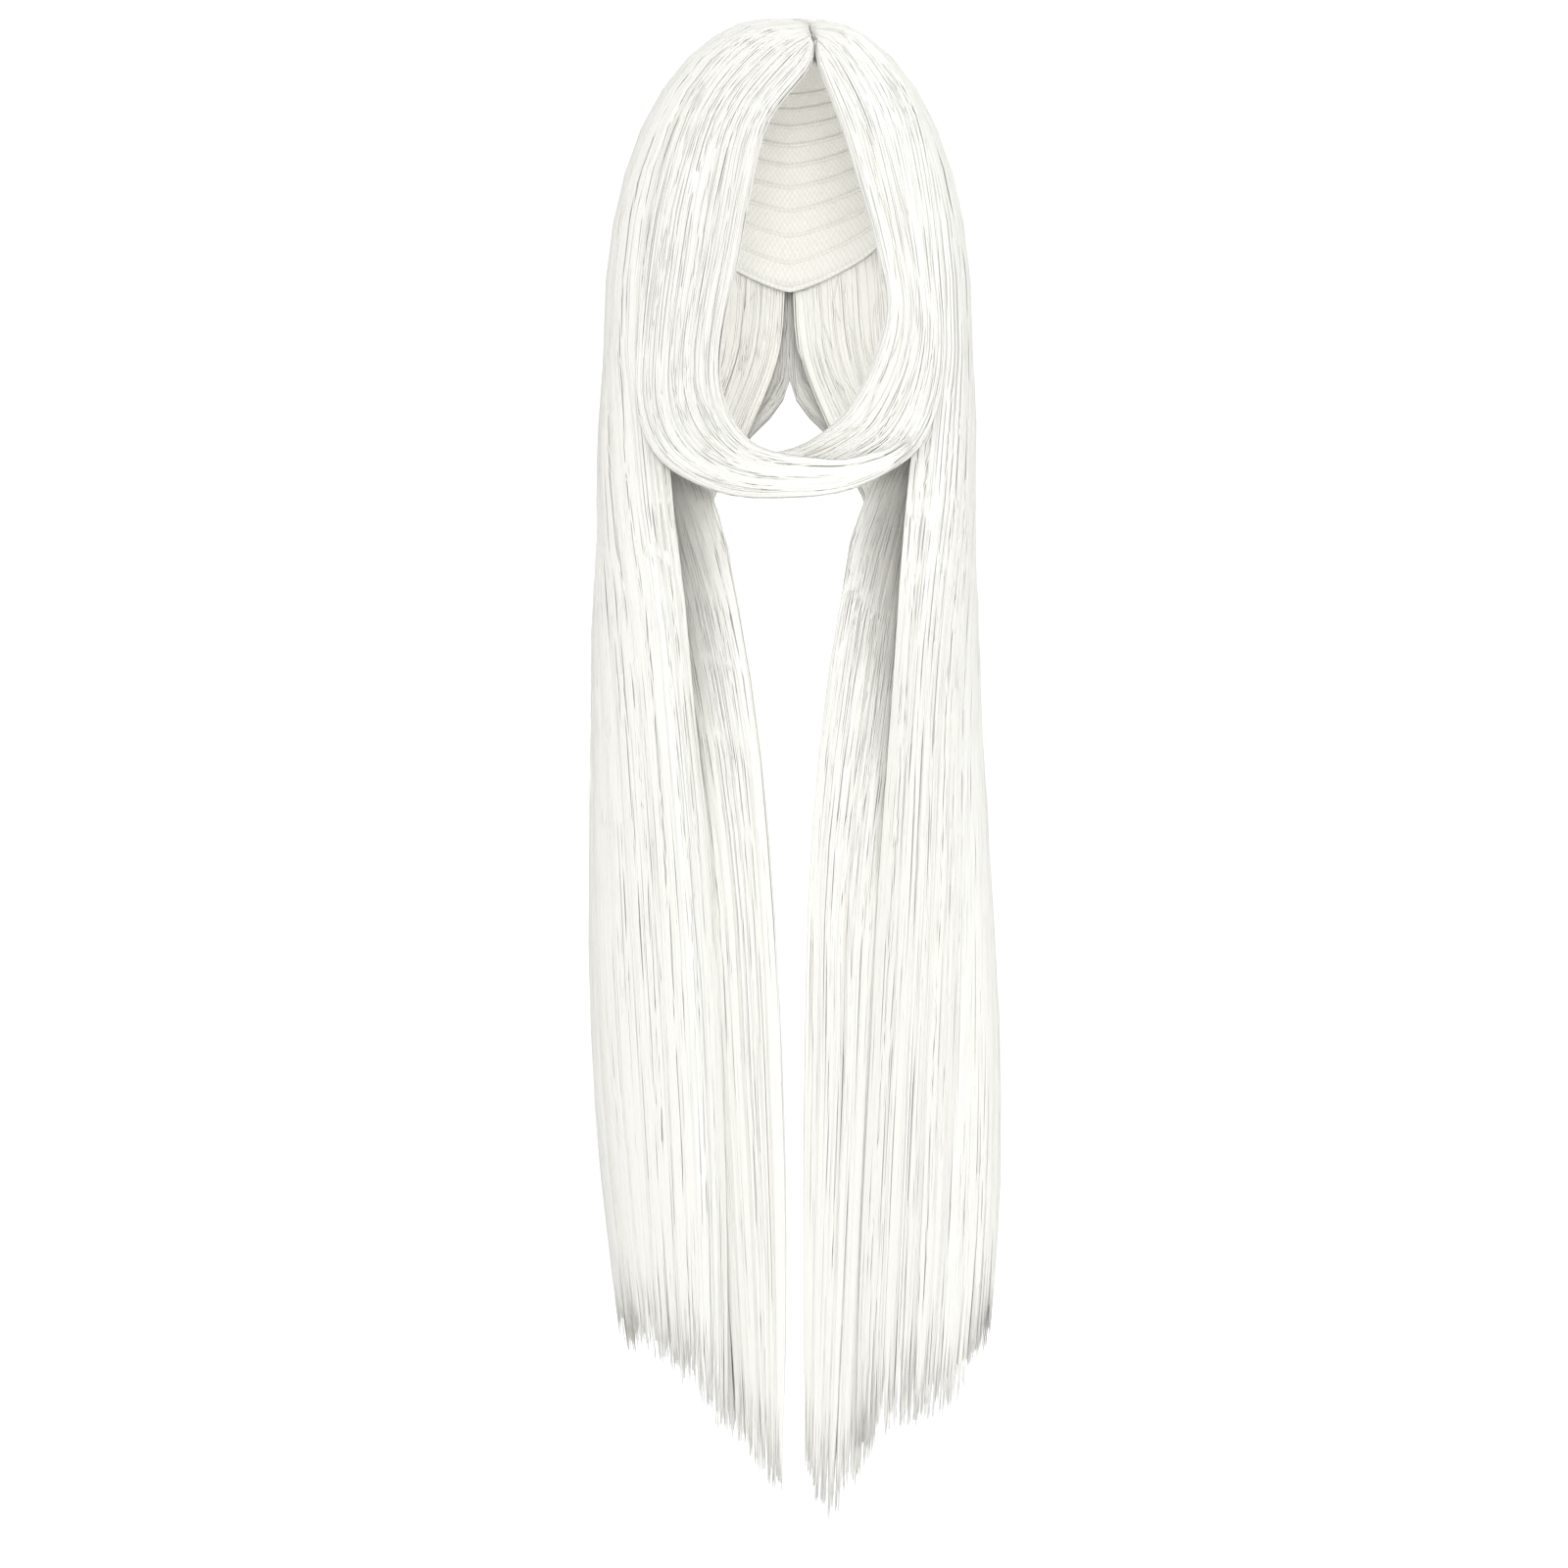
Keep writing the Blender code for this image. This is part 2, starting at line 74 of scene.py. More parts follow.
# Levels count 0 at the crown, 1 where the hair hangs free, 2 at the loop's underside and
# 3 at the longest tip. Each row gives four places as (across left, across right, depth).
outerLevels = [
    (1.00, (0.76, 0.76, -0.45), (1.01, 0.99, -0.08), (0.80, 0.79, 0.61), (0.01, 0.01, 1.00)),
    (1.28, (0.72, 0.72, -0.45), (1.02, 1.00, -0.10), (0.84, 0.83, 0.56), (0.07, 0.07, 0.97)),
    (1.56, (0.68, 0.68, -0.46), (1.03, 1.00, -0.14), (0.89, 0.87, 0.49), (0.27, 0.27, 0.85)),
    (2.03, (0.62, 0.62, -0.59), (1.01, 0.98, -0.28), (0.98, 0.94, 0.32), (0.57, 0.57, 0.59)),
    (2.10, (0.57, 0.59, -0.59), (0.98, 0.95, -0.36), (1.05, 1.00, 0.17), (0.66, 0.66, 0.48)),
    (2.19, (0.53, 0.56, -0.54), (0.94, 0.92, -0.42), (1.07, 1.03, 0.04), (0.78, 0.78, 0.35)),
    (2.37, (0.46, 0.52, -0.48), (0.88, 0.90, -0.44), (1.09, 1.09, -0.10), (0.88, 0.90, 0.21)),
    (2.56, (0.41, 0.47, -0.45), (0.82, 0.87, -0.43), (1.06, 1.13, -0.17), (0.91, 0.97, 0.12)),
    (2.75, (0.38, 0.42, -0.42), (0.75, 0.83, -0.41), (0.97, 1.11, -0.20), (0.87, 0.98, 0.06)),
    (3.00, (0.36, 0.38, -0.40), (0.64, 0.74, -0.39), (0.80, 0.98, -0.21), (0.72, 0.86, 0.02)),
]
underLevels = [
    (1.00, (0.74, 0.74, -0.06), (0.68, 0.68, 0.33), (0.44, 0.44, 0.64), (0.08, 0.08, 0.78)),
    (1.50, (0.61, 0.61, -0.17), (0.70, 0.70, 0.15), (0.57, 0.57, 0.48), (0.24, 0.24, 0.66)),
    (2.03, (0.39, 0.36, -0.39), (0.62, 0.60, -0.14), (0.70, 0.69, 0.17), (0.52, 0.50, 0.40)),
    (2.10, (0.30, 0.28, -0.43), (0.52, 0.51, -0.32), (0.68, 0.67, -0.06), (0.58, 0.57, 0.22)),
    (2.19, (0.21, 0.20, -0.43), (0.42, 0.43, -0.42), (0.62, 0.63, -0.26), (0.60, 0.61, 0.10)),
    (2.37, (0.11, 0.11, -0.42), (0.29, 0.31, -0.45), (0.48, 0.53, -0.40), (0.58, 0.63, -0.12)),
    (2.56, (0.05, 0.08, -0.40), (0.23, 0.28, -0.43), (0.41, 0.46, -0.39), (0.52, 0.58, -0.17)),
    (2.75, (0.03, 0.075, -0.39), (0.18, 0.24, -0.41), (0.34, 0.41, -0.37), (0.45, 0.52, -0.19)),
    (3.00, (0.04, 0.08, -0.38), (0.14, 0.19, -0.39), (0.27, 0.35, -0.35), (0.37, 0.44, -0.20)),
]

# The front bands: inner and outer edge as across, depth and level, from the parting to the end
frontBands = {
    "left": [
        ((-0.085, -0.61, 0.13), (0.24, -0.40, 0.02)), ((0.13, -0.70, 0.30), (0.54, -0.425, 0.23)),
        ((0.22, -0.73, 0.51), (0.70, -0.445, 0.52)), ((0.29, -0.74, 0.73), (0.77, -0.455, 0.78)),
        ((0.37, -0.73, 0.96), (0.80, -0.465, 1.02)), ((0.385, -0.72, 1.25), (0.80, -0.50, 1.41)),
        ((0.33, -0.74, 1.48), (0.71, -0.57, 1.70)), ((0.22, -0.75, 1.65), (0.53, -0.65, 1.88)),
        ((0.07, -0.76, 1.73), (0.28, -0.72, 1.99)), ((-0.12, -0.75, 1.76), (-0.03, -0.75, 2.00)),
        ((-0.28, -0.73, 1.77), (-0.25, -0.73, 1.97)), ((-0.42, -0.70, 1.73), (-0.43, -0.69, 1.89)),
        ((-0.53, -0.66, 1.69), (-0.55, -0.65, 1.80)),
    ],
    "right": [
        ((0.165, -0.60, 0.12), (0.38, -0.40, 0.02)), ((0.28, -0.68, 0.30), (0.65, -0.425, 0.23)),
        ((0.39, -0.71, 0.51), (0.76, -0.44, 0.52)), ((0.49, -0.69, 0.73), (0.80, -0.45, 0.78)),
        ((0.53, -0.67, 0.90), (0.82, -0.455, 0.99)), ((0.46, -0.69, 1.12), (0.785, -0.475, 1.36)),
        ((0.34, -0.70, 1.41), (0.68, -0.54, 1.66)), ((0.23, -0.68, 1.55), (0.49, -0.59, 1.84)),
        ((0.05, -0.62, 1.68), (0.25, -0.61, 1.96)), ((-0.13, -0.60, 1.72), (0.00, -0.59, 1.97)),
        ((-0.28, -0.58, 1.68), (-0.20, -0.58, 1.92)), ((-0.41, -0.53, 1.60), (-0.38, -0.53, 1.75)),
        ((-0.48, -0.47, 1.53), (-0.46, -0.47, 1.62)),
    ],
}
bandThicks = (0.7, 1.0, 1.0, 1.0, 1.0, 1.0, 1.0, 1.0, 1.0, 0.95, 0.8, 0.6, 0.4, 0.25, 0.2)
looseEnds = {            # one more row a band, which only the loose ends of its strands reach
    "left": ((-0.65, -0.62, 1.59), (-0.67, -0.61, 1.67)),
    "right": ((-0.55, -0.42, 1.42), (-0.54, -0.42, 1.52)),
}
mapName = "OFBake"        # across the hair and along it, so that streaks follow each strand
goldenShare = 0.618034    # places stepped by this share of a turn spread evenly
swayUnit = 0.25           # the length of hair for which the paces of a strand's waves are given


def alongRows(rows, place):
    # smooth curve through equal-spaced rows, at places counted in rows
    last = len(rows) - 1
    place = np.clip(place, 0, last)
    start = np.minimum(place.astype(int), last - 1)
    t = (place - start)[..., None]
    a, b = rows[np.maximum(start - 1, 0)], rows[start]
    c, d = rows[start + 1], rows[np.minimum(start + 2, last)]
    return b + 0.5 * t * (c - a + t * (2 * a - 5 * b + 4 * c - d + t * (3 * (b - c) + d - a)))


def rowPlace(keys, key):
    # where a key lies, counted in rows
    return np.interp(key, keys, np.arange(len(keys)))


def evenCurve(rows, keys, key, startLevel):
    # smooth curve through rows at uneven keys; startLevel makes it set off straight down
    gap = np.diff(keys)[:, None]
    rise = np.diff(rows, axis=0) / gap
    slope = np.concatenate([
        rise[:1] * (0 if startLevel else 1),
        (gap[1:] * rise[:-1] + gap[:-1] * rise[1:]) / (gap[1:] + gap[:-1]), rise[-1:]])
    key = np.clip(key, keys[0], keys[-1])
    start = np.clip(np.searchsorted(keys, key, side="right") - 1, 0, len(keys) - 2)
    step = gap[start]
    t = (key - keys[start])[..., None] / step
    a, b, go, stop = rows[start], rows[start + 1], slope[start] * step, slope[start + 1] * step
    return a + t * (go + t * (3 * (b - a) - 2 * go - stop + t * (2 * (a - b) + go + stop)))


def smoothStep(value):
    value = np.clip(value, 0, 1)
    return value * value * (3 - 2 * value)


def unit(vectors):
    return vectors / np.maximum(np.linalg.norm(vectors, axis=-1, keepdims=True), 1e-9)


def signedPower(value, power):
    return np.sign(value) * np.abs(value) ** power


def levelHeight(level):
    # straight steps: down the dome, down to the loop's underside, down to the longest tip
    onHead = -headFall * level
    onLoop = -headFall - wig["loopFall"] * (level - 1)
    hanging = -loopDrop - (wig["hairDrop"] - loopDrop) * (level - 2)
    return np.where(level <= 1, onHead, np.where(level <= 2, onLoop, hanging))


def wander(dice, count, level, waves):
    # a slow drift along each of count strands: waves are (size, pace)
    run = np.where(
        level < 1, wig["headRun"] * level, wig["headRun"] - headFall - levelHeight(level))
    run = run / swayUnit
    total = np.zeros_like(level)
    for size, pace in waves:
        phase = dice.uniform(0, 2 * math.pi, (count, 1))
        total += size * dice.normal(0, 1, (count, 1)) * np.sin(phase + 2 * math.pi * pace * run)
    return total


def partingPoint(share):
    # a place on the parting's line over the crown
    across = alongRows(parting, rowPlace(parting[:, 0], share))[..., 1]
    depth = share * wig["headDepth"]
    high = np.sqrt(1 - (depth / (wig["headDepth"] / 2 + crown)) ** 2)
    top = (wig["headRise"] + crown) * high - wig["headRise"]
    return np.stack([across * wig["headWidth"], depth, top], -1)


def headReach(drop):
    # how wide the cap's form is at a drop below the crown, as a share of its widest
    above = np.sqrt(np.maximum(1 - (1 - drop) ** 2, 0))
    below = np.sqrt(np.maximum(1 - ((drop - 1) / wig["lowRise"]) ** 2, 0))
    return np.where(drop <= 1, above, below)


def levelTable(levels, side):
    # a side's rows as level, then across and depth in metres for each of the four places
    rows = []
    for level, *spots in levels:
        row = [level]
        for spot in spots:
            row += [spot[sideColumn[side]] * halfWidth, spot[2] * halfDepth]
        rows.append(row)
    return np.array(rows)


def napeRow(layer):
    # where the under layer is sewn on, against the outside of the cap
    reach = float(headReach(np.array(layer["napeLevel"] * headFall / wig["headRise"])))
    stand = wig["capWall"] + wig["clearance"] + layer["thick"] * layer["rootThick"]
    row = [layer["napeLevel"]]
    for degrees in layer["napePlaces"]:
        angle = math.radians(degrees)
        row.append(math.cos(angle) * (wig["headWidth"] / 2 * reach + stand))
        row.append(math.sin(angle) * (wig["headDepth"] / 2 * reach + stand))
    return row


def section(table, side, turn, level, overHead):
    # a cubic through the four places of a level
    row = evenCurve(table, -levelHeight(table[:, 0]), -levelHeight(level), overHead)
    t = 3 * turn
    shares = (
        -(t - 1) * (t - 2) * (t - 3) / 6, t * (t - 2) * (t - 3) / 2,
        -t * (t - 1) * (t - 3) / 2, t * (t - 1) * (t - 2) / 6,
    )
    across = sum(share * row[..., 1 + 2 * spot] for spot, share in enumerate(shares))
    depth = sum(share * row[..., 2 + 2 * spot] for spot, share in enumerate(shares))
    return np.stack([signs[side] * across, depth, levelHeight(level)], -1)


def layerPoint(layer, side, turn, level):
    # on the layer's outer face; turn runs 0 to 1 from its front edge to its rear edge
    table = layer["tables"][side]
    point = section(table, side, turn, np.maximum(level, table[0, 0]), layer["overHead"])
    if not layer["overHead"]:
        return point
    held = np.clip(turn, 0, 1)
    root = partingPoint(wig["frontRoots"] + (wig["whorl"] - wig["frontRoots"]) * held)
    root[..., 0] += signs[side] * wig["partGap"] / 2
    root[..., 1] += (turn - held) * layer["whorlSpread"]
    angle = np.clip(level, 0, 1) * math.pi / 2
    out = (np.sin(angle) ** (2 / wig["roundness"]))[..., None]
    up = np.cos(angle) ** (2 / wig["roundness"])
    over = root + (point - root) * out
    over[..., 2] = point[..., 2] + (root[..., 2] - point[..., 2]) * up
    return np.where((level < 1)[..., None], over, point)


# How either layer is formed and cut into locks. Places are turns and levels.
lockForm = {
    "edgeThick": 0.42, "edgeRound": 0.22,     # share of the thickness at the edges, and how far in
    "hangThin": 0.5, "rootEase": 0.4, "sinkEase": 0.14,
    "widths": (0.4, 1.8), "stands": (-0.5, 1.0),      # the range that each lock's are drawn from
    "looseFrom": 1.6, "driftPaces": (2.3, 5.1),
    "rearSeam": {"from": 0.85, "until": 1.0, "ease": 0.4},
    "frontLap": {"within": 0.12, "from": 2.15, "ease": 0.3},
    "rearLimit": 1.003, "stepTurn": 0.004, "stepLevel": 0.006,
}


def layerNormal(layer, side, turn, level):
    stepTurn, stepLevel = lockForm["stepTurn"], lockForm["stepLevel"]
    top = layer["tables"][side][0, 0] if not layer["overHead"] else 0.0
    across = layerPoint(layer, side, turn + stepTurn, level) - layerPoint(
        layer, side, turn - stepTurn, level)
    down = layerPoint(layer, side, turn, level + stepLevel) - layerPoint(
        layer, side, turn, np.maximum(level - stepLevel, top))
    return unit(-signs[side] * np.cross(across, down))


def layerThick(layer, turn, level):
    # thinner at both edges, towards the tips and at the roots
    edge = smoothStep(np.minimum(turn, 1 - turn) / lockForm["edgeRound"])
    edge = lockForm["edgeThick"] + (1 - lockForm["edgeThick"]) * edge
    hang = 1 - lockForm["hangThin"] * smoothStep(level - 2)
    root = layer["rootThick"] + (1 - layer["rootThick"]) * smoothStep(
        (level - layer["top"]) / lockForm["rootEase"])
    return layer["thick"] * edge * hang * root


def makeLocks(layer, side):
    # cuts a layer into locks of uneven width, each with its tip and a slow sideways drift
    dice = np.random.default_rng(layer["seed"] + sideColumn[side])
    widths = dice.uniform(*lockForm["widths"], layer["locks"])
    ends = np.concatenate([[0], np.cumsum(widths)]) / widths.sum()
    middle = (ends[1:] + ends[:-1]) / 2
    tips = np.array(layer["tips"][side])[:, None]
    tip = alongRows(tips, middle * len(tips) - 0.5)[:, 0]
    return {
        "middle": middle, "half": (ends[1:] - ends[:-1]) / 2, "tip": tip,
        "drift": dice.uniform(0, 2 * math.pi, (2, layer["locks"])),
        "proud": dice.uniform(*lockForm["stands"], layer["locks"]),
    }


def lockPlace(layer, side, locks, lock, angle, level, tip, reach, sway=0):
    # where a strand lies: angle goes round its lock, reach is 1 on the lock's own skin,
    # sway shifts it sideways in half widths of the lock
    middle, half = locks["middle"][lock][:, None], locks["half"][lock][:, None]
    looseFrom, seam, lap = lockForm["looseFrom"], lockForm["rearSeam"], lockForm["frontLap"]
    loose = smoothStep((level - looseFrom) / (tip - looseFrom))
    near = smoothStep((level - (tip - layer["tipLength"])) / layer["tipLength"])
    power = 2 / (layer["square"][0] + (layer["square"][1] - layer["square"][0]) * loose)
    narrow = 1 + layer["overlap"] * (1 - 0.5 * loose) - (1 - layer["tipWidth"]) * near * loose
    drift = sum(
        np.sin(locks["drift"][wave][lock][:, None] + level * pace)
        for wave, pace in enumerate(lockForm["driftPaces"]))
    turn = middle + half * (
        reach * narrow * signedPower(np.cos(angle), power) + layer["drift"] * drift * loose + sway)
    # close the seam down the back, and lap the front edge over the layer below
    turn = turn + layer["rearReach"] * smoothStep((turn - seam["from"]) / (1 - seam["from"])) * (
        1 - smoothStep((level - seam["until"]) / seam["ease"]))
    turn = turn - layer["frontReach"] * smoothStep(1 - turn / lap["within"]) * smoothStep(
        (level - lap["from"]) / lap["ease"])
    turn = np.where(level < 1, turn, np.minimum(turn, lockForm["rearLimit"]))
    thick = layerThick(layer, np.clip(turn, 0, 1), level)
    proud = locks["proud"][lock][:, None] * layer["proud"]
    sunk = layer["rootSink"] * (
        1 - smoothStep((level - layer["top"]) / lockForm["sinkEase"]))
    flat = 1 - (1 - layer["tipWidth"]) * near
    deep = 0.5 - 0.5 * reach * flat * signedPower(np.sin(angle), power)
    deep = deep + sunk * (1 - deep)
    normal = layerNormal(layer, side, turn, level)
    point = layerPoint(layer, side, turn, level) + normal * (proud - thick * deep)[..., None]
    return point, normal


def addMesh(name, points, loops, sizes, uv, material, nodes):
    # one piece: loops lists the corners of all faces, sizes how many corners each face has
    mesh = bpy.data.meshes.new(name)
    mesh.vertices.add(len(points))
    mesh.vertices.foreach_set("co", np.ascontiguousarray(points, np.float32).ravel())
    mesh.loops.add(len(loops))
    mesh.loops.foreach_set("vertex_index", np.ascontiguousarray(loops, np.int32))
    starts = np.concatenate([[0], np.cumsum(sizes)[:-1]]).astype(np.int32)
    mesh.polygons.add(len(sizes))
    mesh.polygons.foreach_set("loop_start", starts)
    layer = mesh.uv_layers.new(name=mapName)
    layer.uv.foreach_set("vector", np.ascontiguousarray(uv, np.float32).ravel())
    mesh.update(calc_edges=True)
    mesh.validate()
    mesh.shade_smooth()
    mesh.materials.append(material)
    piece = bpy.data.objects.new(name, mesh)
    bpy.context.scene.collection.objects.link(piece)
    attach(piece, "root")
    if nodes:
        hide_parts(*nodes)


def ringFaces(count, rings, sides):
    # quads of count closed tubes, and the corner of each on the rings: (corners, row, column)
    ring, side = np.meshgrid(np.arange(rings - 1), np.arange(sides), indexing="ij")
    corner = np.stack([
        ring * sides + side, ring * sides + (side + 1) % sides,
        (ring + 1) * sides + (side + 1) % sides, (ring + 1) * sides + side,
    ], -1).reshape(-1, 4)
    row = np.stack([ring, ring, ring + 1, ring + 1], -1).reshape(-1, 4)
    column = np.stack([side, side + 1, side + 1, side], -1).reshape(-1, 4)
    base = np.arange(count)[:, None, None] * rings * sides
    return base + corner, row, column


def addTubes(name, rings, across, along, material, nodes=(), flip=False):
    # closed tubes from rings of points; across is (count, sides + 1) and along (count, rings)
    count, length, sides = rings.shape[:3]
    corners, row, column = ringFaces(count, length, sides)
    uv = np.stack([across[:, column], along[:, row]], -1)
    capIndex = np.arange(count)[:, None] * length * sides
    first = capIndex + np.arange(sides)[::-1]
    final = capIndex + (length - 1) * sides + np.arange(sides)
    middle = across.mean(1)[:, None]
    spread = 0.5 * (across.max(1) - across.min(1))[:, None]
    wheel = np.arange(sides) * 2 * math.pi / sides
    endSize, endShift = 0.0007, 0.001       # the small discs on the map where the ends lie
    capUv = np.stack([
        middle + spread * np.cos(wheel), 0 * middle + endSize * np.sin(wheel)], -1)
    startUv, endUv = capUv.copy(), capUv.copy()
    startUv[..., 1] += along[:, :1] + endShift
    endUv[..., 1] += along[:, -1:] - endShift
    loops = np.concatenate([corners.ravel(), first.ravel(), final.ravel()])
    uv = np.concatenate([uv.reshape(-1, 2), startUv.reshape(-1, 2), endUv.reshape(-1, 2)])
    sizes = np.concatenate([
        np.full(corners.shape[0] * corners.shape[1], 4), np.full(2 * count, sides)])
    if flip:            # rings that run the other way round have every face turned over
        loops = np.concatenate([
            corners[..., ::-1].ravel(), first[:, ::-1].ravel(), final[:, ::-1].ravel()])
        quads = corners.size
        capped = quads + first.size
        uv = np.concatenate([
            uv[:quads].reshape(-1, 4, 2)[:, ::-1].reshape(-1, 2),
            uv[quads:capped].reshape(-1, sides, 2)[:, ::-1].reshape(-1, 2),
            uv[capped:].reshape(-1, sides, 2)[:, ::-1].reshape(-1, 2),
        ])
    addMesh(name, rings.reshape(-1, 3), loops, sizes, uv, material, nodes)


def strandRings(paths, normals, widths, sides=3, flat=0.55):
    # thin tubes round each path, flattened against the hair; widths is (count, rings)
    ahead = unit(np.gradient(paths, axis=1))
    up = unit(normals - ahead * (normals * ahead).sum(-1, keepdims=True))
    beside = np.cross(ahead, up)
    wheel = np.arange(sides) * 2 * math.pi / sides
    spokes = (
        flat * up[:, :, None] * np.cos(wheel)[:, None]
        + beside[:, :, None] * np.sin(wheel)[:, None])
    return paths[:, :, None] + spokes * (widths / 2)[:, :, None, None]


class Wire:
    # a socket that can be used in sums
    def __init__(self, graph, socket):
        self.graph, self.socket = graph, socket

    def join(self, operation, first, second):
        return self.graph.node("ShaderNodeMath", {"operation": operation}, {0: first, 1: second})

    def __add__(self, other):
        return self.join("ADD", self, other)

    def __radd__(self, other):
        return self.join("ADD", other, self)

    def __sub__(self, other):
        return self.join("SUBTRACT", self, other)

    def __rsub__(self, other):
        return self.join("SUBTRACT", other, self)

    def __mul__(self, other):
        return self.join("MULTIPLY", self, other)

    def __rmul__(self, other):
        return self.join("MULTIPLY", other, self)


class Graph:
    # a material and the nodes before its shader
    def __init__(self, name):
        self.material = bpy.data.materials.new(name)
        self.material.use_nodes = True
        self.tree = self.material.node_tree
        self.shader = self.tree.nodes["Principled BSDF"]

    def node(self, kind, settings, inputs, output=0):
        made = self.tree.nodes.new(kind)
        for key, value in settings.items():
            setattr(made, key, value)
        for key, value in inputs.items():
            self.feed(made.inputs[key], value)
        return Wire(self, made.outputs[output])

    def feed(self, socket, value):
        if isinstance(value, Wire):
            self.tree.links.new(value.socket, socket)
        else:
            socket.default_value = value

    def mixColours(self, share, first, second):
        return self.node(
            "ShaderNodeMix", {"data_type": "RGBA"}, {0: share, 6: first, 7: second}, output=2)

    def clamped(self, value, low, high):
        return self.node("ShaderNodeMapRange", {}, {
            "Value": value, "From Min": low, "From Max": high, "To Min": 0.0, "To Max": 1.0})

    def noise(self, place, scale, detail):
        return self.node("ShaderNodeTexNoise", {"noise_dimensions": "3D"}, {
            "Vector": place, "Scale": scale, "Detail": detail, "Roughness": 0.5})

    def bump(self, height, strength, distance, invert=False):
        return self.node("ShaderNodeBump", {"invert": invert}, {
            "Strength": strength, "Distance": distance, "Height": height})

    def finish(self, colour, roughness, normal):
        self.feed(self.shader.inputs["Base Color"], colour)
        self.feed(self.shader.inputs["Roughness"], roughness)
        self.feed(self.shader.inputs["Normal"], normal)
        return self.material


hairFinish = {
    "pale": (0.935, 0.932, 0.905, 1), "shade": (0.80, 0.785, 0.715, 1),
    "warm": (0.915, 0.895, 0.82, 1), "contrast": 0.17, "warmth": 0.35,
    "roughness": (0.38, 0.56), "specular": 0.30, "bumpStrength": 0.18, "bumpDistance": 0.0005,
    # streaks: turns across, turns along, detail, shift
    "fibres": (820, 5, 2.0, 3.1), "bundles": (150, 2.4, 2.0, 7.7), "bands": (26, 1.1, 1.0, 1.9),
    # shares of fibres and bundles in the shade and in the bump, and the spans that are shown
    "shadeMix": (0.55, 0.45), "bumpMix": (0.7, 0.5), "shadeSpan": (0.56, 0.36),
    "warmSpan": (0.42, 0.72), "seedSteps": (1, 0.37, 1.7),
}


def hairMaterial(name, seed):
    # streaks that follow the strands: fine fibres, bundles of them, and broad slow bands
    graph = Graph(name)
    place = graph.node("ShaderNodeUVMap", {"uv_map": mapName}, {})

    def streak(kind):
        across, along, detail, shift = hairFinish[kind]
        first, second, third = (seed * step for step in hairFinish["seedSteps"])
        stretched = graph.node("ShaderNodeVectorMath", {"operation": "MULTIPLY_ADD"}, {
            0: place, 1: (across, along, 1), 2: (shift + first, second, third)})
        return graph.noise(stretched, 1.0, detail)

    def mixed(shares):
        return shares[0] * fibres + shares[1] * bundles

    fibres, bundles, bands = (streak(kind) for kind in ("fibres", "bundles", "bands"))
    shade = graph.clamped(mixed(hairFinish["shadeMix"]), *hairFinish["shadeSpan"])
    warmth = graph.clamped(bands, *hairFinish["warmSpan"])
    colour = graph.mixColours(
        shade * hairFinish["contrast"], hairFinish["pale"], hairFinish["shade"])
    colour = graph.mixColours(warmth * hairFinish["warmth"], colour, hairFinish["warm"])
    low, high = hairFinish["roughness"]
    bump = graph.bump(
        mixed(hairFinish["bumpMix"]), hairFinish["bumpStrength"], hairFinish["bumpDistance"])
    graph.shader.inputs["Specular IOR Level"].default_value = hairFinish["specular"]
    return graph.finish(colour, low + fibres * (high - low), bump)


# the hole colour is painted shade in the net's holes; cloudy is random tone
netFinish = {
    "thread": (0.95, 0.945, 0.915, 1), "hole": (0.85, 0.84, 0.79, 1),
    "cloudy": (0.93, 0.925, 0.89, 1), "meshes": (150, 46), "holeSpan": (0.15, 0.55),
    "holeShadeShare": 0.8, "cloudScale": 14.0, "cloudDetail": 3.0, "cloudShare": 0.3,
    "roughness": 0.62, "holeRougher": 0.25, "bumpStrength": 0.6, "bumpDistance": 0.0006,
}


def netMaterial():
    # a knitted net: diamond holes painted darker as shade, with soft threads between them
    graph = Graph("cap_net")
    place = graph.node("ShaderNodeUVMap", {"uv_map": mapName}, {})
    parts = graph.node("ShaderNodeSeparateXYZ", {}, {0: place})
    down = Wire(graph, parts.socket.node.outputs[1])
    wide, deep = netFinish["meshes"]
    waves = [
        graph.node("ShaderNodeMath", {"operation": "ABSOLUTE"}, {
            0: graph.node("ShaderNodeMath", {"operation": "SINE"}, {0: value})})
        for value in (
            (parts * wide + down * deep) * math.pi, (parts * wide - down * deep) * math.pi)
    ]
    hole = graph.clamped(waves[0] * waves[1], *netFinish["holeSpan"])
    cloud = graph.noise(place, netFinish["cloudScale"], netFinish["cloudDetail"])
    # painted shade: the holes are coloured darker than the threads
    colour = graph.mixColours(
        hole * netFinish["holeShadeShare"], netFinish["thread"], netFinish["hole"])
    colour = graph.mixColours(cloud * netFinish["cloudShare"], colour, netFinish["cloudy"])
    bump = graph.bump(hole, netFinish["bumpStrength"], netFinish["bumpDistance"], invert=True)
    return graph.finish(colour, netFinish["roughness"] + hole * netFinish["holeRougher"], bump)


# shade darkens the tape: painted shade along the ribs, and random tone in the grain
tapeFinish = {
    "tape": (0.93, 0.925, 0.89, 1), "weft": (0.92, 0.91, 0.865, 1), "shade": 0.82,
    "tapeRibs": 160, "weftRibs": 110, "ribShadeShare": 0.35, "grainShare": 0.3,
    "grainScale": 240.0, "grainDetail": 2.0, "roughness": 0.55, "grainRougher": 0.3,
    "ribHeight": 0.8, "grainHeight": 0.4, "bumpStrength": 0.5, "bumpDistance": 0.0005,
}


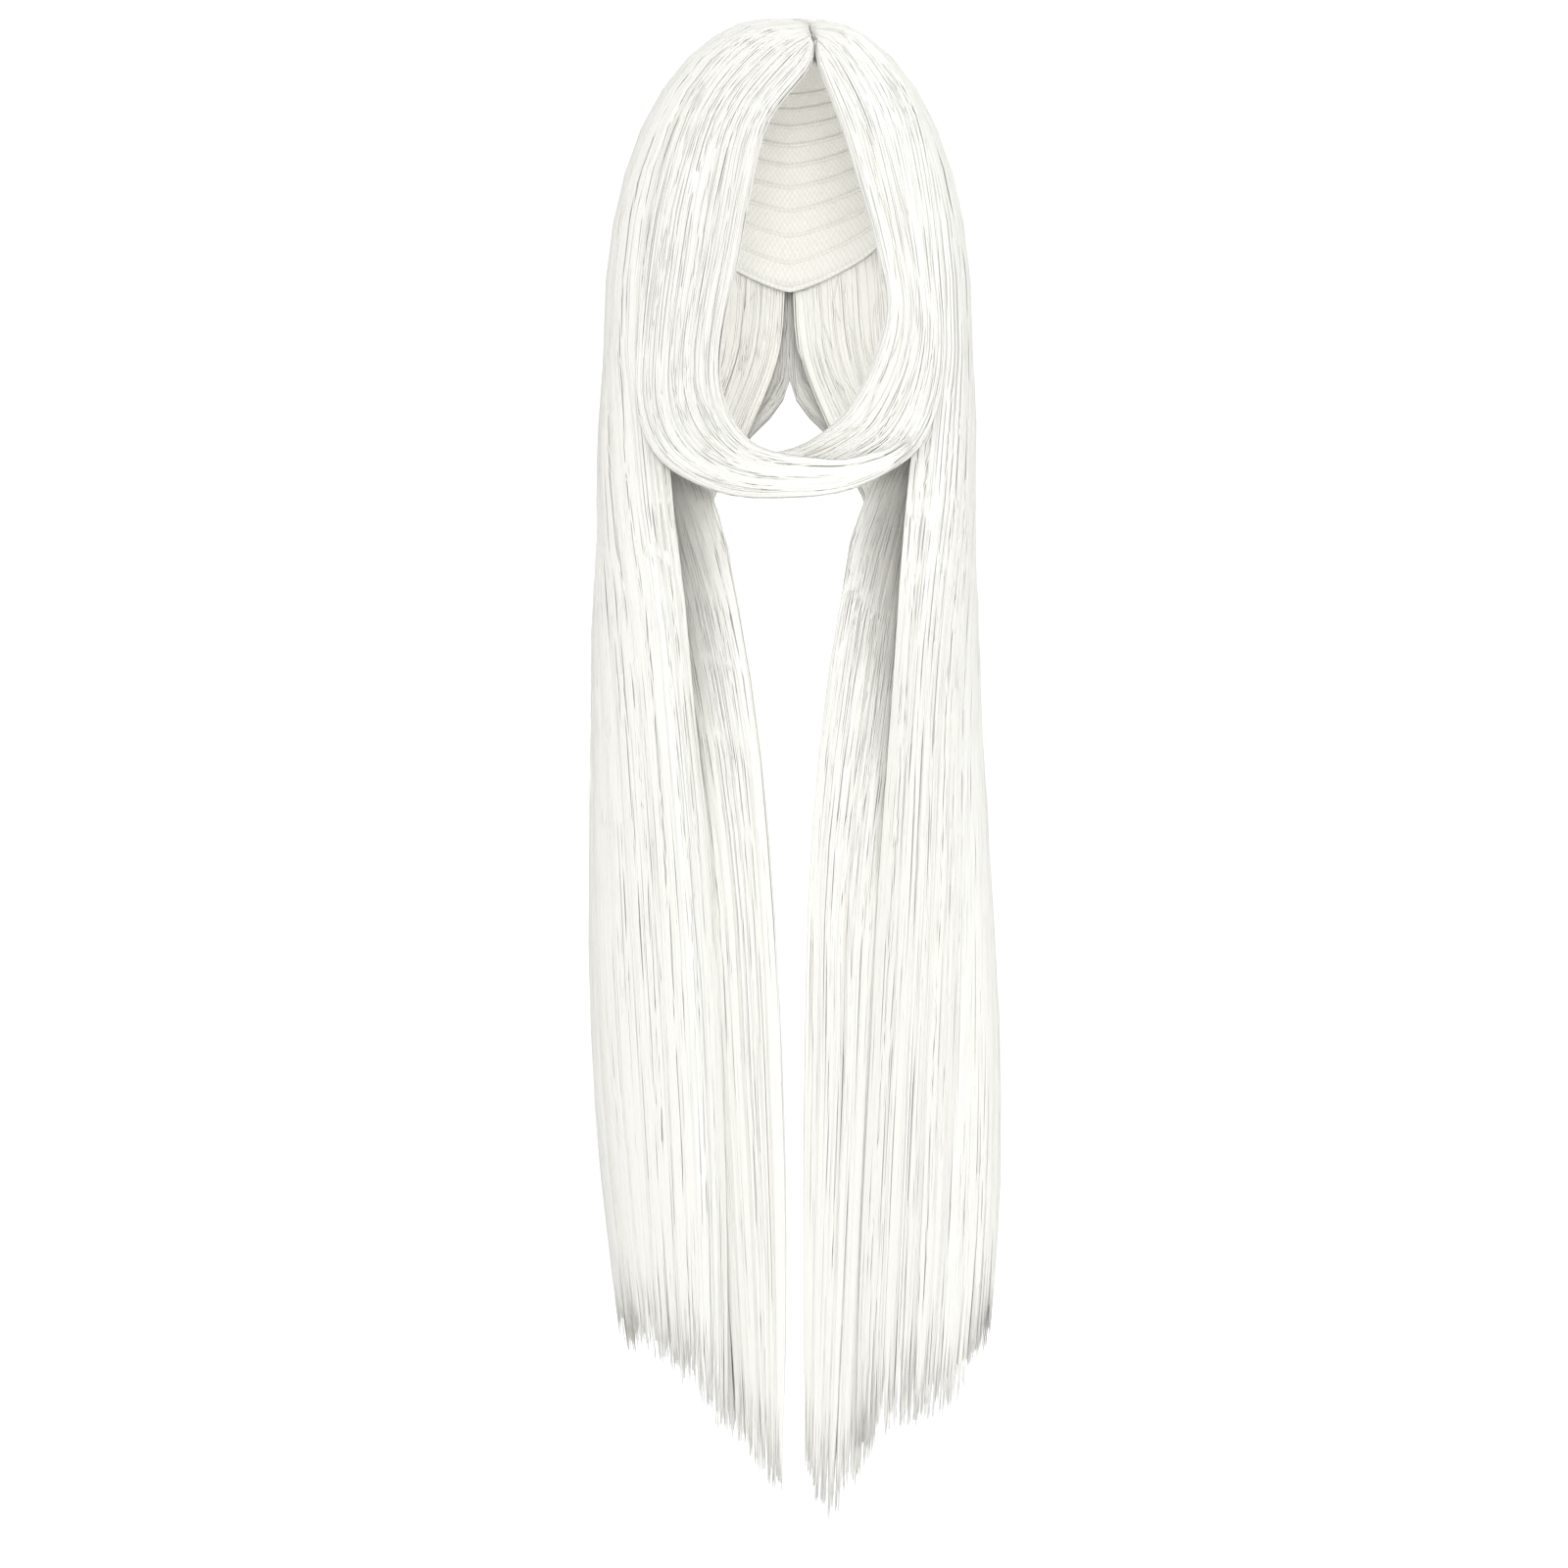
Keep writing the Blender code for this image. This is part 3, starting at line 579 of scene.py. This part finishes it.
def tapeMaterial(name, colour, ribs):
    # woven tape: ribs across it, painted in shade as well as bumped, and a fine grain of random
    # tone
    graph = Graph(name)
    place = graph.node("ShaderNodeUVMap", {"uv_map": mapName}, {})
    parts = graph.node("ShaderNodeSeparateXYZ", {}, {0: place})
    down = Wire(graph, parts.socket.node.outputs[1])
    rib = graph.node("ShaderNodeMath", {"operation": "SINE"}, {0: down * (2 * math.pi * ribs)})
    rib = graph.clamped(rib, -1.0, 1.0)
    grain = graph.noise(place, tapeFinish["grainScale"], tapeFinish["grainDetail"])
    shade = tuple(tapeFinish["shade"] * value for value in colour[:3]) + (1,)
    # painted shade along the ribs, mixed with the grain's random tone
    ribShadeAndGrain = rib * tapeFinish["ribShadeShare"] + grain * tapeFinish["grainShare"]
    height = rib * tapeFinish["ribHeight"] + grain * tapeFinish["grainHeight"]
    return graph.finish(
        graph.mixColours(ribShadeAndGrain, colour, shade),
        tapeFinish["roughness"] + grain * tapeFinish["grainRougher"],
        graph.bump(height, tapeFinish["bumpStrength"], tapeFinish["bumpDistance"]))


# The cap: net shell, bound edge and rows of weft inside. Shares run from the crown to the edge.
cap = {
    "columns": 96, "rows": 26, "topShare": 0.02, "standEase": 3,
    "binding": 0.0017, "bindingStations": 161, "bindingSides": 8, "bindingMap": (0.05, 6.3),
    "weftRows": 9, "weftShares": (0.42, 0.94), "weftSpan": (62, 298), "weftWidth": 0.0013,
    "weftStations": 64, "weftSides": 6, "weftStand": -0.0008, "weftMap": (0.1, 0.06),
}


def capPoint(angle, share, stand):
    # angle goes round from the front, stand is the height over the cap's inside
    turned = np.degrees(np.abs((angle + math.pi) % (2 * math.pi) - math.pi))
    drop = alongRows(capEdge, rowPlace(capEdge[:, 0], turned))[..., 1] * share ** 2
    reach = headReach(drop)
    aside = stand * np.minimum(1, drop * cap["standEase"])
    return np.stack([
        np.sin(angle) * (reach * wig["headWidth"] / 2 + aside),
        -np.cos(angle) * (reach * wig["headDepth"] / 2 + aside),
        -drop * wig["headRise"] + stand * np.maximum(0, 1 - drop),
    ], -1)


def makeCap():
    columns, rows = cap["columns"], cap["rows"]
    angle = np.arange(columns) * 2 * math.pi / columns
    shares = np.linspace(cap["topShare"], 1, rows)
    around, down = np.meshgrid(angle, shares)
    outside = capPoint(around, down, wig["capWall"])
    inside = capPoint(around, down, 0.0)
    rings = np.concatenate([outside, inside[::-1]])[None]
    across = np.linspace(0, 1, columns + 1)[None]
    along = np.concatenate([shares, shares[::-1]])[None]
    addTubes("cap_net_shell", rings, across, along, netMaterial(), ["wig_cap"],
             flip=True)

    def roundRings(path, radius, sides):
        level = unit(path * np.array([1, 1, 0]))
        return strandRings(path, level, np.full(path.shape[:2], 2 * radius), sides, flat=1)

    angle = np.linspace(0, 2 * math.pi, cap["bindingStations"])
    path = capPoint(angle, np.ones_like(angle), wig["capWall"] / 2)[None]
    sides = cap["bindingSides"]
    wide, long = cap["bindingMap"]
    addTubes("cap_edge_binding", roundRings(path, cap["binding"], sides),
             np.linspace(0, wide, sides + 1)[None], angle[None] / long,
             tapeMaterial("cap_tape", tapeFinish["tape"], tapeFinish["tapeRibs"]))

    span = np.radians(np.linspace(*cap["weftSpan"], cap["weftStations"]))
    count, sides = cap["weftRows"], cap["weftSides"]
    shares = np.linspace(*cap["weftShares"], count)[:, None]
    path = capPoint(np.repeat(span[None], count, 0), shares + 0 * span, cap["weftStand"])
    step, wide = cap["weftMap"]
    across = step * np.arange(count)[:, None] + np.linspace(0, wide, sides + 1)
    along = np.repeat(np.linspace(0, 1, len(span))[None], count, 0)
    addTubes("cap_weft_rows", roundRings(path, cap["weftWidth"], sides), across, along,
             tapeMaterial("cap_weft", tapeFinish["weft"], tapeFinish["weftRibs"]))
    print("cap made")


# The hanging layers. Tips are levels from the front edge to the rear edge of a layer.
outerHair = {
    "name": "outer_hair", "slot": "outer_hair", "seed": 11, "strandSeed": 77,
    "overHead": True, "top": 0.0,
    "thick": wig["outerThick"], "rootThick": 1.0, "locks": 30, "overlap": 0.24, "drift": 0.09,
    "square": (9.0, 4.2), "tipLength": 0.20, "tipWidth": 0.66, "proud": 0.0003,
    "rootSink": 0.20, "whorlSpread": 0.05, "rearReach": 0.011, "frontReach": 0.035,
    "tips": {
        "left": (2.91, 2.88, 2.865, 2.85, 2.838, 2.826, 2.815, 2.81, 2.815, 2.825, 2.835, 2.845),
        "right": (2.93, 2.915, 2.91, 2.905, 2.90, 2.885, 2.845, 2.812, 2.815, 2.83, 2.845, 2.855),
    },
    "strands": {
        "top": {"seedShift": 6, "count": 780, "face": "out", "width": (0.0010, 0.0016)},
        "lining": {"seedShift": 12, "count": 250, "face": "in", "width": (0.0012, 0.0018)},
        "fringe": {"seedShift": 12, "count": 1300, "face": "both", "width": (0.0004, 0.0007),
                   "from": 0.24},
        "stray": {"seedShift": 10, "count": 30, "face": "out", "width": (0.0003, 0.0005),
                  "lift": 0.0045, "longer": 0.09},
    },
}
underHair = {
    "name": "under_hair", "slot": "under_hair", "seed": 31, "strandSeed": 217,
    "overHead": False, "top": 0.64,
    "thick": wig["underThick"], "rootThick": 0.6, "locks": 16, "overlap": 0.20, "drift": 0.09,
    "square": (8.0, 4.0), "tipLength": 0.20, "tipWidth": 0.62, "proud": 0.0003,
    "rootSink": 0.0, "rearReach": 0.0, "frontReach": 0.0, "napeLevel": 0.64,
    "napePlaces": (0, 30, 60, 88),
    "tips": {
        "left": (2.97, 2.965, 2.95, 2.93, 2.92, 2.90),
        "right": (2.955, 2.99, 3.00, 2.97, 2.965, 2.94),
    },
    "strands": {
        "top": {"seedShift": 6, "count": 300, "face": "out", "width": (0.0010, 0.0016)},
        "lining": {"seedShift": 12, "count": 150, "face": "in", "width": (0.0012, 0.0018)},
        "fringe": {"seedShift": 12, "count": 700, "face": "both", "width": (0.0004, 0.0007),
                   "from": 0.24},
        "stray": {"seedShift": 10, "count": 14, "face": "out", "width": (0.0003, 0.0005),
                  "lift": 0.003, "longer": 0.10},
    },
}
strandCut = {
    # stations: levels down the dome, then shares of the way down, and of a fringe strand
    "headStops": (0.0, 0.03, 0.08, 0.15, 0.24, 0.34, 0.45, 0.56, 0.67, 0.78, 0.89),
    "napeStops": (0.95, 5),       # the last of the levels above the way down, and how many
    "hangStops": (0.0, 0.06, 0.13, 0.20, 0.27, 0.34, 0.41, 0.48, 0.535, 0.565, 0.60, 0.64, 0.68,
                  0.72, 0.76, 0.80, 0.84, 0.88, 0.92, 0.95, 0.975, 0.99, 1.0),
    "fringeStops": (0.0, 0.2, 0.4, 0.58, 0.74, 0.88, 1.0),
    # tips: how ragged, how far past their lock's, and how many are cut shorter and by how much
    "ragged": 0.014, "pastLock": 0.004, "uneven": 0.008, "short": (0.06, 0.12),
    "longest": 3.035, "fringeStart": (0.6, 1.0), "fringeUneven": 0.03,
    # strands gather in clumps from a level on; to the edges they lie closer by a power
    "clumps": 6, "gather": 0.4, "gatherFrom": 2.1, "edgePower": 3.0,
    "angleWaves": [(0.10, 0.35), (0.04, 0.9)], "reach": (0.98, 1.06), "reachWaves": [(0.012, 0.7)],
    "swayWaves": [(0.30, 0.25), (0.10, 0.7)], "swayEase": 0.4,
    "liftLeast": 0.0006, "liftFrom": 0.2, "liftPower": (0.6, 2),
    "tipShare": 0.16, "taper": 0.12, "mapWidth": 0.0042,
}
massForm = {
    "sides": 14, "short": 0.035,              # how many levels it ends above its lock's tip
    "reach": 0.90, "narrowing": 0.55, "narrowFrom": 0.20, "narrowOver": 0.17,
}


def strandLevels(layer, tip):
    # each strand's stations: down the dome first, then down to its own tip
    head = np.array(strandCut["headStops"]) if layer["overHead"] else np.linspace(
        layer["top"], *strandCut["napeStops"])
    hang = np.array(strandCut["hangStops"])
    down = 1 + (tip[:, None] - 1) * hang
    return np.concatenate([np.repeat(head[None], len(tip), 0), down], 1)


def makeBody(layer, side, locks, material):
    # the mass of each lock, a little inside its strands
    count, sides = layer["locks"], massForm["sides"]
    stops = strandLevels(layer, locks["tip"] - massForm["short"])
    level = np.repeat(stops, sides, 0)
    lock = np.repeat(np.arange(count), sides)
    angle = np.tile(np.arange(sides) * 2 * math.pi / sides, count)[:, None] + 0 * level
    tip = np.repeat(locks["tip"], sides)[:, None]
    share = smoothStep((level - (tip - massForm["narrowFrom"])) / massForm["narrowOver"])
    reach = massForm["reach"] - massForm["narrowing"] * share
    point, _ = lockPlace(layer, side, locks, lock, angle, level, tip, reach)
    rings = point.reshape(count, sides, -1, 3).transpose(0, 2, 1, 3)
    wheel = np.arange(sides + 1) * 2 * math.pi / sides
    across = locks["middle"][:, None] + locks["half"][:, None] * np.cos(wheel)
    addTubes(f"{layer['name']}_{side}_mass", rings, across, stops / 3, material,
             [f"{layer['name']}_{side}"], flip=side == "right")


def outward(normals, angle):
    # strands on a lock's inner face look the other way
    return normals * np.where(np.sin(angle) < 0, -1, 1)[..., None]


def tipLevels(layer, strands, locks, lock, clump, dice):
    # where each strand ends: its clump's own end, less a little, and some are cut shorter
    count = len(lock)
    clumpTip = dice.normal(0, strandCut["ragged"], (layer["locks"], 2 * strandCut["clumps"]))
    past = np.minimum(clumpTip[lock, clump.astype(int)], strandCut["pastLock"])
    tip = locks["tip"][lock] + past
    tip = tip - np.abs(dice.normal(0, strandCut["uneven"], count))
    shortShare, shortBy = strandCut["short"]
    some = dice.random(count) < shortShare
    tip = np.where(some, tip - dice.uniform(0, shortBy, count), tip)
    if "longer" in strands:
        longer = strands["longer"] * dice.random(count) ** 2
        tip = np.minimum(tip + longer, strandCut["longest"])
    return tip


def makeStrands(layer, side, part, locks, material):
    strands = layer["strands"][part]
    count, clumps = strands["count"], strandCut["clumps"]
    dice = np.random.default_rng(
        layer["strandSeed"] + sideColumn[side] + strands["seedShift"])
    share = locks["half"] / locks["half"].sum()
    lock = np.sort(dice.choice(layer["locks"], count, p=share))
    spot = 2 * (np.arange(count) * goldenShare % 1.0) - 1
    angle = np.arccos(signedPower(spot, strandCut["edgePower"]))
    inside = {"out": 0, "in": 1, "both": np.arange(count) % 2}[strands["face"]]
    angle = np.where(inside == 1, 2 * math.pi - angle, angle)
    clump = np.floor(angle / math.pi * clumps)
    clumpAngle = (clump + 0.5) * math.pi / clumps
    tip = tipLevels(layer, strands, locks, lock, clump, dice)
    if "from" in strands:
        start = locks["tip"][lock] - strands["from"] * dice.uniform(
            *strandCut["fringeStart"], count)
        tip = tip - strandCut["fringeUneven"] * dice.random(count) ** 2
        level = start[:, None] + (tip - start)[:, None] * np.array(strandCut["fringeStops"])
    else:
        level = strandLevels(layer, tip)
    lockTip, tip = locks["tip"][lock][:, None], tip[:, None]
    gatherFrom = strandCut["gatherFrom"]
    gather = strandCut["gather"] * smoothStep((level - gatherFrom) / (tip - gatherFrom))
    angle = angle[:, None] + (clumpAngle - angle)[:, None] * gather
    angle = angle + wander(dice, count, level, strandCut["angleWaves"])
    reach = dice.uniform(*strandCut["reach"], (count, 1))
    reach = reach + wander(dice, count, level, strandCut["reachWaves"])
    sway = wander(dice, count, level, strandCut["swayWaves"])
    sway = sway * smoothStep(level / strandCut["swayEase"])
    path, normal = lockPlace(layer, side, locks, lock, angle, level, lockTip, reach, sway)
    normal = outward(normal, angle[:, :1])
    if "lift" in strands:
        height = strands["lift"] * dice.random((count, 1))
        liftFrom = strandCut["liftFrom"]
        along = np.clip((level - liftFrom) / (tip - liftFrom), 0, 1)
        bow = np.sin(math.pi * along ** dice.uniform(*strandCut["liftPower"], (count, 1)))
        path = path + normal * (strandCut["liftLeast"] + height * bow)[..., None]
    taper = smoothStep((level - tip + strandCut["taper"]) / strandCut["taper"])
    width = dice.uniform(*strands["width"], (count, 1)) * (
        1 - (1 - strandCut["tipShare"]) * taper)
    middle = locks["middle"][lock] + locks["half"][lock] * np.cos(angle[:, 0])
    across = middle[:, None] + np.linspace(-0.5, 0.5, 4) * strandCut["mapWidth"]
    addTubes(f"{layer['name']}_{side}_{part}", strandRings(path, normal, width), across,
             level / 3, material)


def makeLayer(layer):
    layer["tables"] = {}
    for side in signs:
        table = levelTable(outerLevels if layer["overHead"] else underLevels, side)
        if not layer["overHead"]:
            table = np.vstack([napeRow(layer), table])
        layer["tables"][side] = table
        locks = makeLocks(layer, side)
        material = hairMaterial(f"{layer['name']}_{side}", layer["seed"] + sideColumn[side])
        makeBody(layer, side, locks, material)
        for part in layer["strands"]:
            makeStrands(layer, side, part, locks, material)
    print(layer["name"], "made")


# The front locks, three to a side, crossing at the loop. Places are rows of frontBands.
frontHair = {
    "locks": 3, "thick": wig["lockThick"], "square": 3.2, "spread": 1.10, "stations": 40,
    "aheadStep": 0.02, "seed": {"left": 71, "right": 81}, "finishSeed": {"left": 51, "right": 52},
    "mass": {"sides": 14, "short": 2.0, "reach": 0.87, "narrowing": 0.77, "narrowOver": 3.0},
    "strands": {
        "count": 96, "width": (0.0011, 0.0016), "endShort": 0.1, "ragged": 2.6,
        "raggedPower": 1.2, "clumps": 9, "gather": 0.6, "gatherOver": (0.7, 0.3),
        "angleWaves": [(0.16, 1.0), (0.06, 3.2)], "reach": (0.95, 1.07),
        "reachWaves": [(0.02, 2.5)], "tipThin": 0.8, "taperOver": (0.9, 0.1), "mapWidth": 0.015,
    },
}


def bandTable(side):
    # rows of inner edge, outer edge and thickness, in metres, from the parting to the loose ends
    rows = []
    edges = []
    for share in wig["bandRoots"]:
        root = partingPoint(np.array(share))
        root[0] += signs[side] * wig["clearance"]
        root[2] -= wig["lockThick"] / 2
        edges.append(root)
    rows.append([*edges[0], *edges[1], bandThicks[0]])
    for (inner, outer), share in zip(frontBands[side] + [looseEnds[side]], bandThicks[1:]):
        row = []
        for across, depth, level in (inner, outer):
            row += [
                signs[side] * across * halfWidth, depth * halfDepth,
                float(levelHeight(np.array(level)))]
        rows.append(row + [share])
    return np.array(rows)


def bandPlace(table, place, middleShare, halfShare, angle, reach):
    # a point round one lock of a band, and the way it faces
    def centre(at):
        row = alongRows(table, at)
        return row[..., 0:3] + (row[..., 3:6] - row[..., 0:3]) * middleShare, row

    middle, row = centre(place)
    last, step = len(table) - 1, frontHair["aheadStep"]
    ahead = centre(np.minimum(place + step, last))[0] - centre(np.maximum(place - step, 0))[0]
    half = (row[..., 3:6] - row[..., 0:3]) * halfShare
    out = unit(np.cross(ahead, half)) * (row[..., 6:7] * frontHair["thick"] / 2)
    power = 2 / frontHair["square"]
    across = (reach * signedPower(np.cos(angle), power))[..., None]
    proud = (reach * signedPower(np.sin(angle), power))[..., None]
    return middle + half * across + out * proud, unit(out)


def makeFrontMass(name, side, table, middleShare, halfShare, material):
    mass, last = frontHair["mass"], len(table) - 1
    sides = mass["sides"]
    stops = np.linspace(0, last - mass["short"], frontHair["stations"])
    place = np.repeat(stops[None], sides, 0)
    wheel = np.arange(sides) * 2 * math.pi / sides
    reach = mass["reach"] - mass["narrowing"] * smoothStep(
        (place - stops[-1] + mass["narrowOver"]) / mass["narrowOver"])
    rings, _ = bandPlace(table, place, middleShare, halfShare, wheel[:, None] + 0 * place, reach)
    spots = middleShare + halfShare * np.cos(np.linspace(0, 2 * math.pi, sides + 1))
    addTubes(f"{name}_mass", rings.transpose(1, 0, 2)[None], spots[None], stops[None] / last,
             material, [name], flip=side == "left")


def makeFrontStrands(name, table, middleShare, halfShare, material, dice):
    strands, last = frontHair["strands"], len(table) - 1
    count, clumps = strands["count"], strands["clumps"]
    angle = 2 * math.pi * (np.arange(count) * goldenShare % 1.0)
    ends = last - strands["endShort"] - strands["ragged"] * dice.random(count) ** (
        strands["raggedPower"])
    place = ends[:, None] * np.linspace(0, 1, frontHair["stations"])
    along = place / last
    clump = (np.floor(angle / (2 * math.pi) * clumps) + 0.5) * (2 * math.pi / clumps)
    gatherFrom, gatherOver = strands["gatherOver"]
    gather = strands["gather"] * smoothStep((along - gatherFrom) / gatherOver)
    turned = angle[:, None] + (clump - angle)[:, None] * gather
    turned = turned + wander(dice, count, along, strands["angleWaves"])
    reach = dice.uniform(*strands["reach"], (count, 1))
    reach = reach + wander(dice, count, along, strands["reachWaves"])
    path, normal = bandPlace(table, place, middleShare, halfShare, turned, reach)
    normal = outward(normal, angle[:, None])
    thinFrom, thinOver = strands["taperOver"]
    width = dice.uniform(*strands["width"], (count, 1)) * (
        1 - strands["tipThin"] * smoothStep((along - thinFrom) / thinOver))
    middle = (middleShare + halfShare * np.cos(angle))[:, None]
    spots = middle + np.linspace(-0.5, 0.5, 4) * strands["mapWidth"]
    addTubes(f"{name}_strands", strandRings(path, normal, width), spots, along,
             material)


def makeFrontLocks():
    count = frontHair["locks"]
    halfShare = frontHair["spread"] / count / 2
    for side in signs:
        table = bandTable(side)
        material = hairMaterial(f"front_lock_{side}", frontHair["finishSeed"][side])
        for number in range(count):
            dice = np.random.default_rng(frontHair["seed"][side] + number)
            name = f"front_lock_{side}_{count - number}"
            middleShare = (number + 0.5) / count
            makeFrontMass(name, side, table, middleShare, halfShare, material)
            makeFrontStrands(name, table, middleShare, halfShare, material, dice)
    print("front locks made")


makeCap()
makeLayer(outerHair)
makeLayer(underHair)
makeFrontLocks()

studio = {
    "eye": (-0.0037, -4.0, -0.470), "lens": 145,
    "worldLight": 0.68, "worldColour": (1, 1, 0.995, 1),
    "middle": (0, 0, -0.4),
    "aims": {"inside": (0.0, 1.0, -0.15)},      # the lamps that don't look at the hair's middle
    "lamps": [
        # name, place, size, watts, colour
        ("inside", (0.0, -0.075, -0.15), 0.12, 0.10, (1.0, 1.0, 0.99)),
        ("key", (-1.2, -2.8, 1.6), 1.6, 18, (1.0, 0.995, 0.98)),
        ("front", (0.1, -4.4, 0.15), 1.0, 54, (1.0, 1.0, 0.99)),
        ("fill", (2.2, -2.4, 0.0), 1.8, 15, (0.98, 0.99, 1.0)),
        ("left", (-3.0, -0.7, -0.2), 1.8, 7, (1.0, 1.0, 1.0)),
        ("right", (3.0, -0.7, -0.2), 1.8, 10, (1.0, 1.0, 1.0)),
        ("back", (0.4, 2.4, 1.8), 1.6, 40, (1.0, 1.0, 1.0)),
    ],
    # a wide bowl: flat floor under the hair that curves up all round
    "floor": {
        "height": -1.02, "hub": 0.05, "flat": 4.6, "curve": 1.4, "bend": (0.15, 1.57), "steps": 10,
        "wall": (6.0, 5.0), "sides": 72, "colour": (0.93, 0.93, 0.92, 1), "roughness": 0.9,
        "glow": 0.55,
    },
}


def makeFloor():
    floor = studio["floor"]
    bend = np.linspace(*floor["bend"], floor["steps"])
    wallReach, wallRise = floor["wall"]
    reach = np.concatenate([
        np.linspace(floor["hub"], floor["flat"], floor["steps"]),
        floor["flat"] + floor["curve"] * np.sin(bend), [wallReach]])
    rise = np.concatenate([
        np.zeros(floor["steps"]), floor["curve"] * (1 - np.cos(bend)), [wallRise]])
    sides = floor["sides"]
    angle = np.linspace(0, 2 * math.pi, sides + 1)[:-1]
    points = np.stack([
        reach[:, None] * np.cos(angle), reach[:, None] * np.sin(angle),
        floor["height"] + rise[:, None] + 0 * angle], -1)
    faces = [
        (ring * sides + spot, ring * sides + (spot + 1) % sides,
         (ring + 1) * sides + (spot + 1) % sides, (ring + 1) * sides + spot)
        for ring in range(len(reach) - 1) for spot in range(sides)]
    faces.append(tuple(reversed(range(sides))))
    mesh = bpy.data.meshes.new("studio_floor")
    mesh.from_pydata(points.reshape(-1, 3).tolist(), [], faces)
    mesh.shade_smooth()
    graph = Graph("studio_floor")
    graph.shader.inputs["Base Color"].default_value = floor["colour"]
    graph.shader.inputs["Roughness"].default_value = floor["roughness"]
    graph.shader.inputs["Emission Color"].default_value = (1, 1, 1, 1)
    graph.shader.inputs["Emission Strength"].default_value = floor["glow"]
    mesh.materials.append(graph.material)
    stage = bpy.data.objects.new("studio_floor", mesh)
    bpy.context.scene.collection.objects.link(stage)
    stage.visible_diffuse = stage.visible_glossy = stage.visible_shadow = False


def makeLamps():
    for name, place, size, watts, colour in studio["lamps"]:
        lamp = bpy.data.lights.new(name, "AREA")
        lamp.size, lamp.energy, lamp.color = size, watts, colour
        holder = bpy.data.objects.new(name, lamp)
        bpy.context.scene.collection.objects.link(holder)
        holder.visible_camera = False
        holder.location = place
        aim = np.array(studio["aims"].get(name, studio["middle"])) - np.array(place)
        holder.rotation_euler = (
            math.atan2(math.hypot(aim[0], aim[1]), -aim[2]), 0, math.atan2(-aim[0], aim[1]))


def makeStudio():
    scene = bpy.context.scene
    world = bpy.data.worlds.new("studio_light")
    world.use_nodes = True
    background = world.node_tree.nodes["Background"]
    background.inputs["Color"].default_value = studio["worldColour"]
    background.inputs["Strength"].default_value = studio["worldLight"]
    scene.world = world
    makeLamps()
    makeFloor()

    camera = bpy.data.cameras.new("camera")
    camera.lens = studio["lens"]
    holder = bpy.data.objects.new("camera", camera)
    scene.collection.objects.link(holder)
    holder.location = studio["eye"]
    holder.rotation_euler = (math.pi / 2, 0, 0)
    scene.camera = holder
    scene.view_settings.view_transform = "Standard"
    print("studio made")


makeStudio()
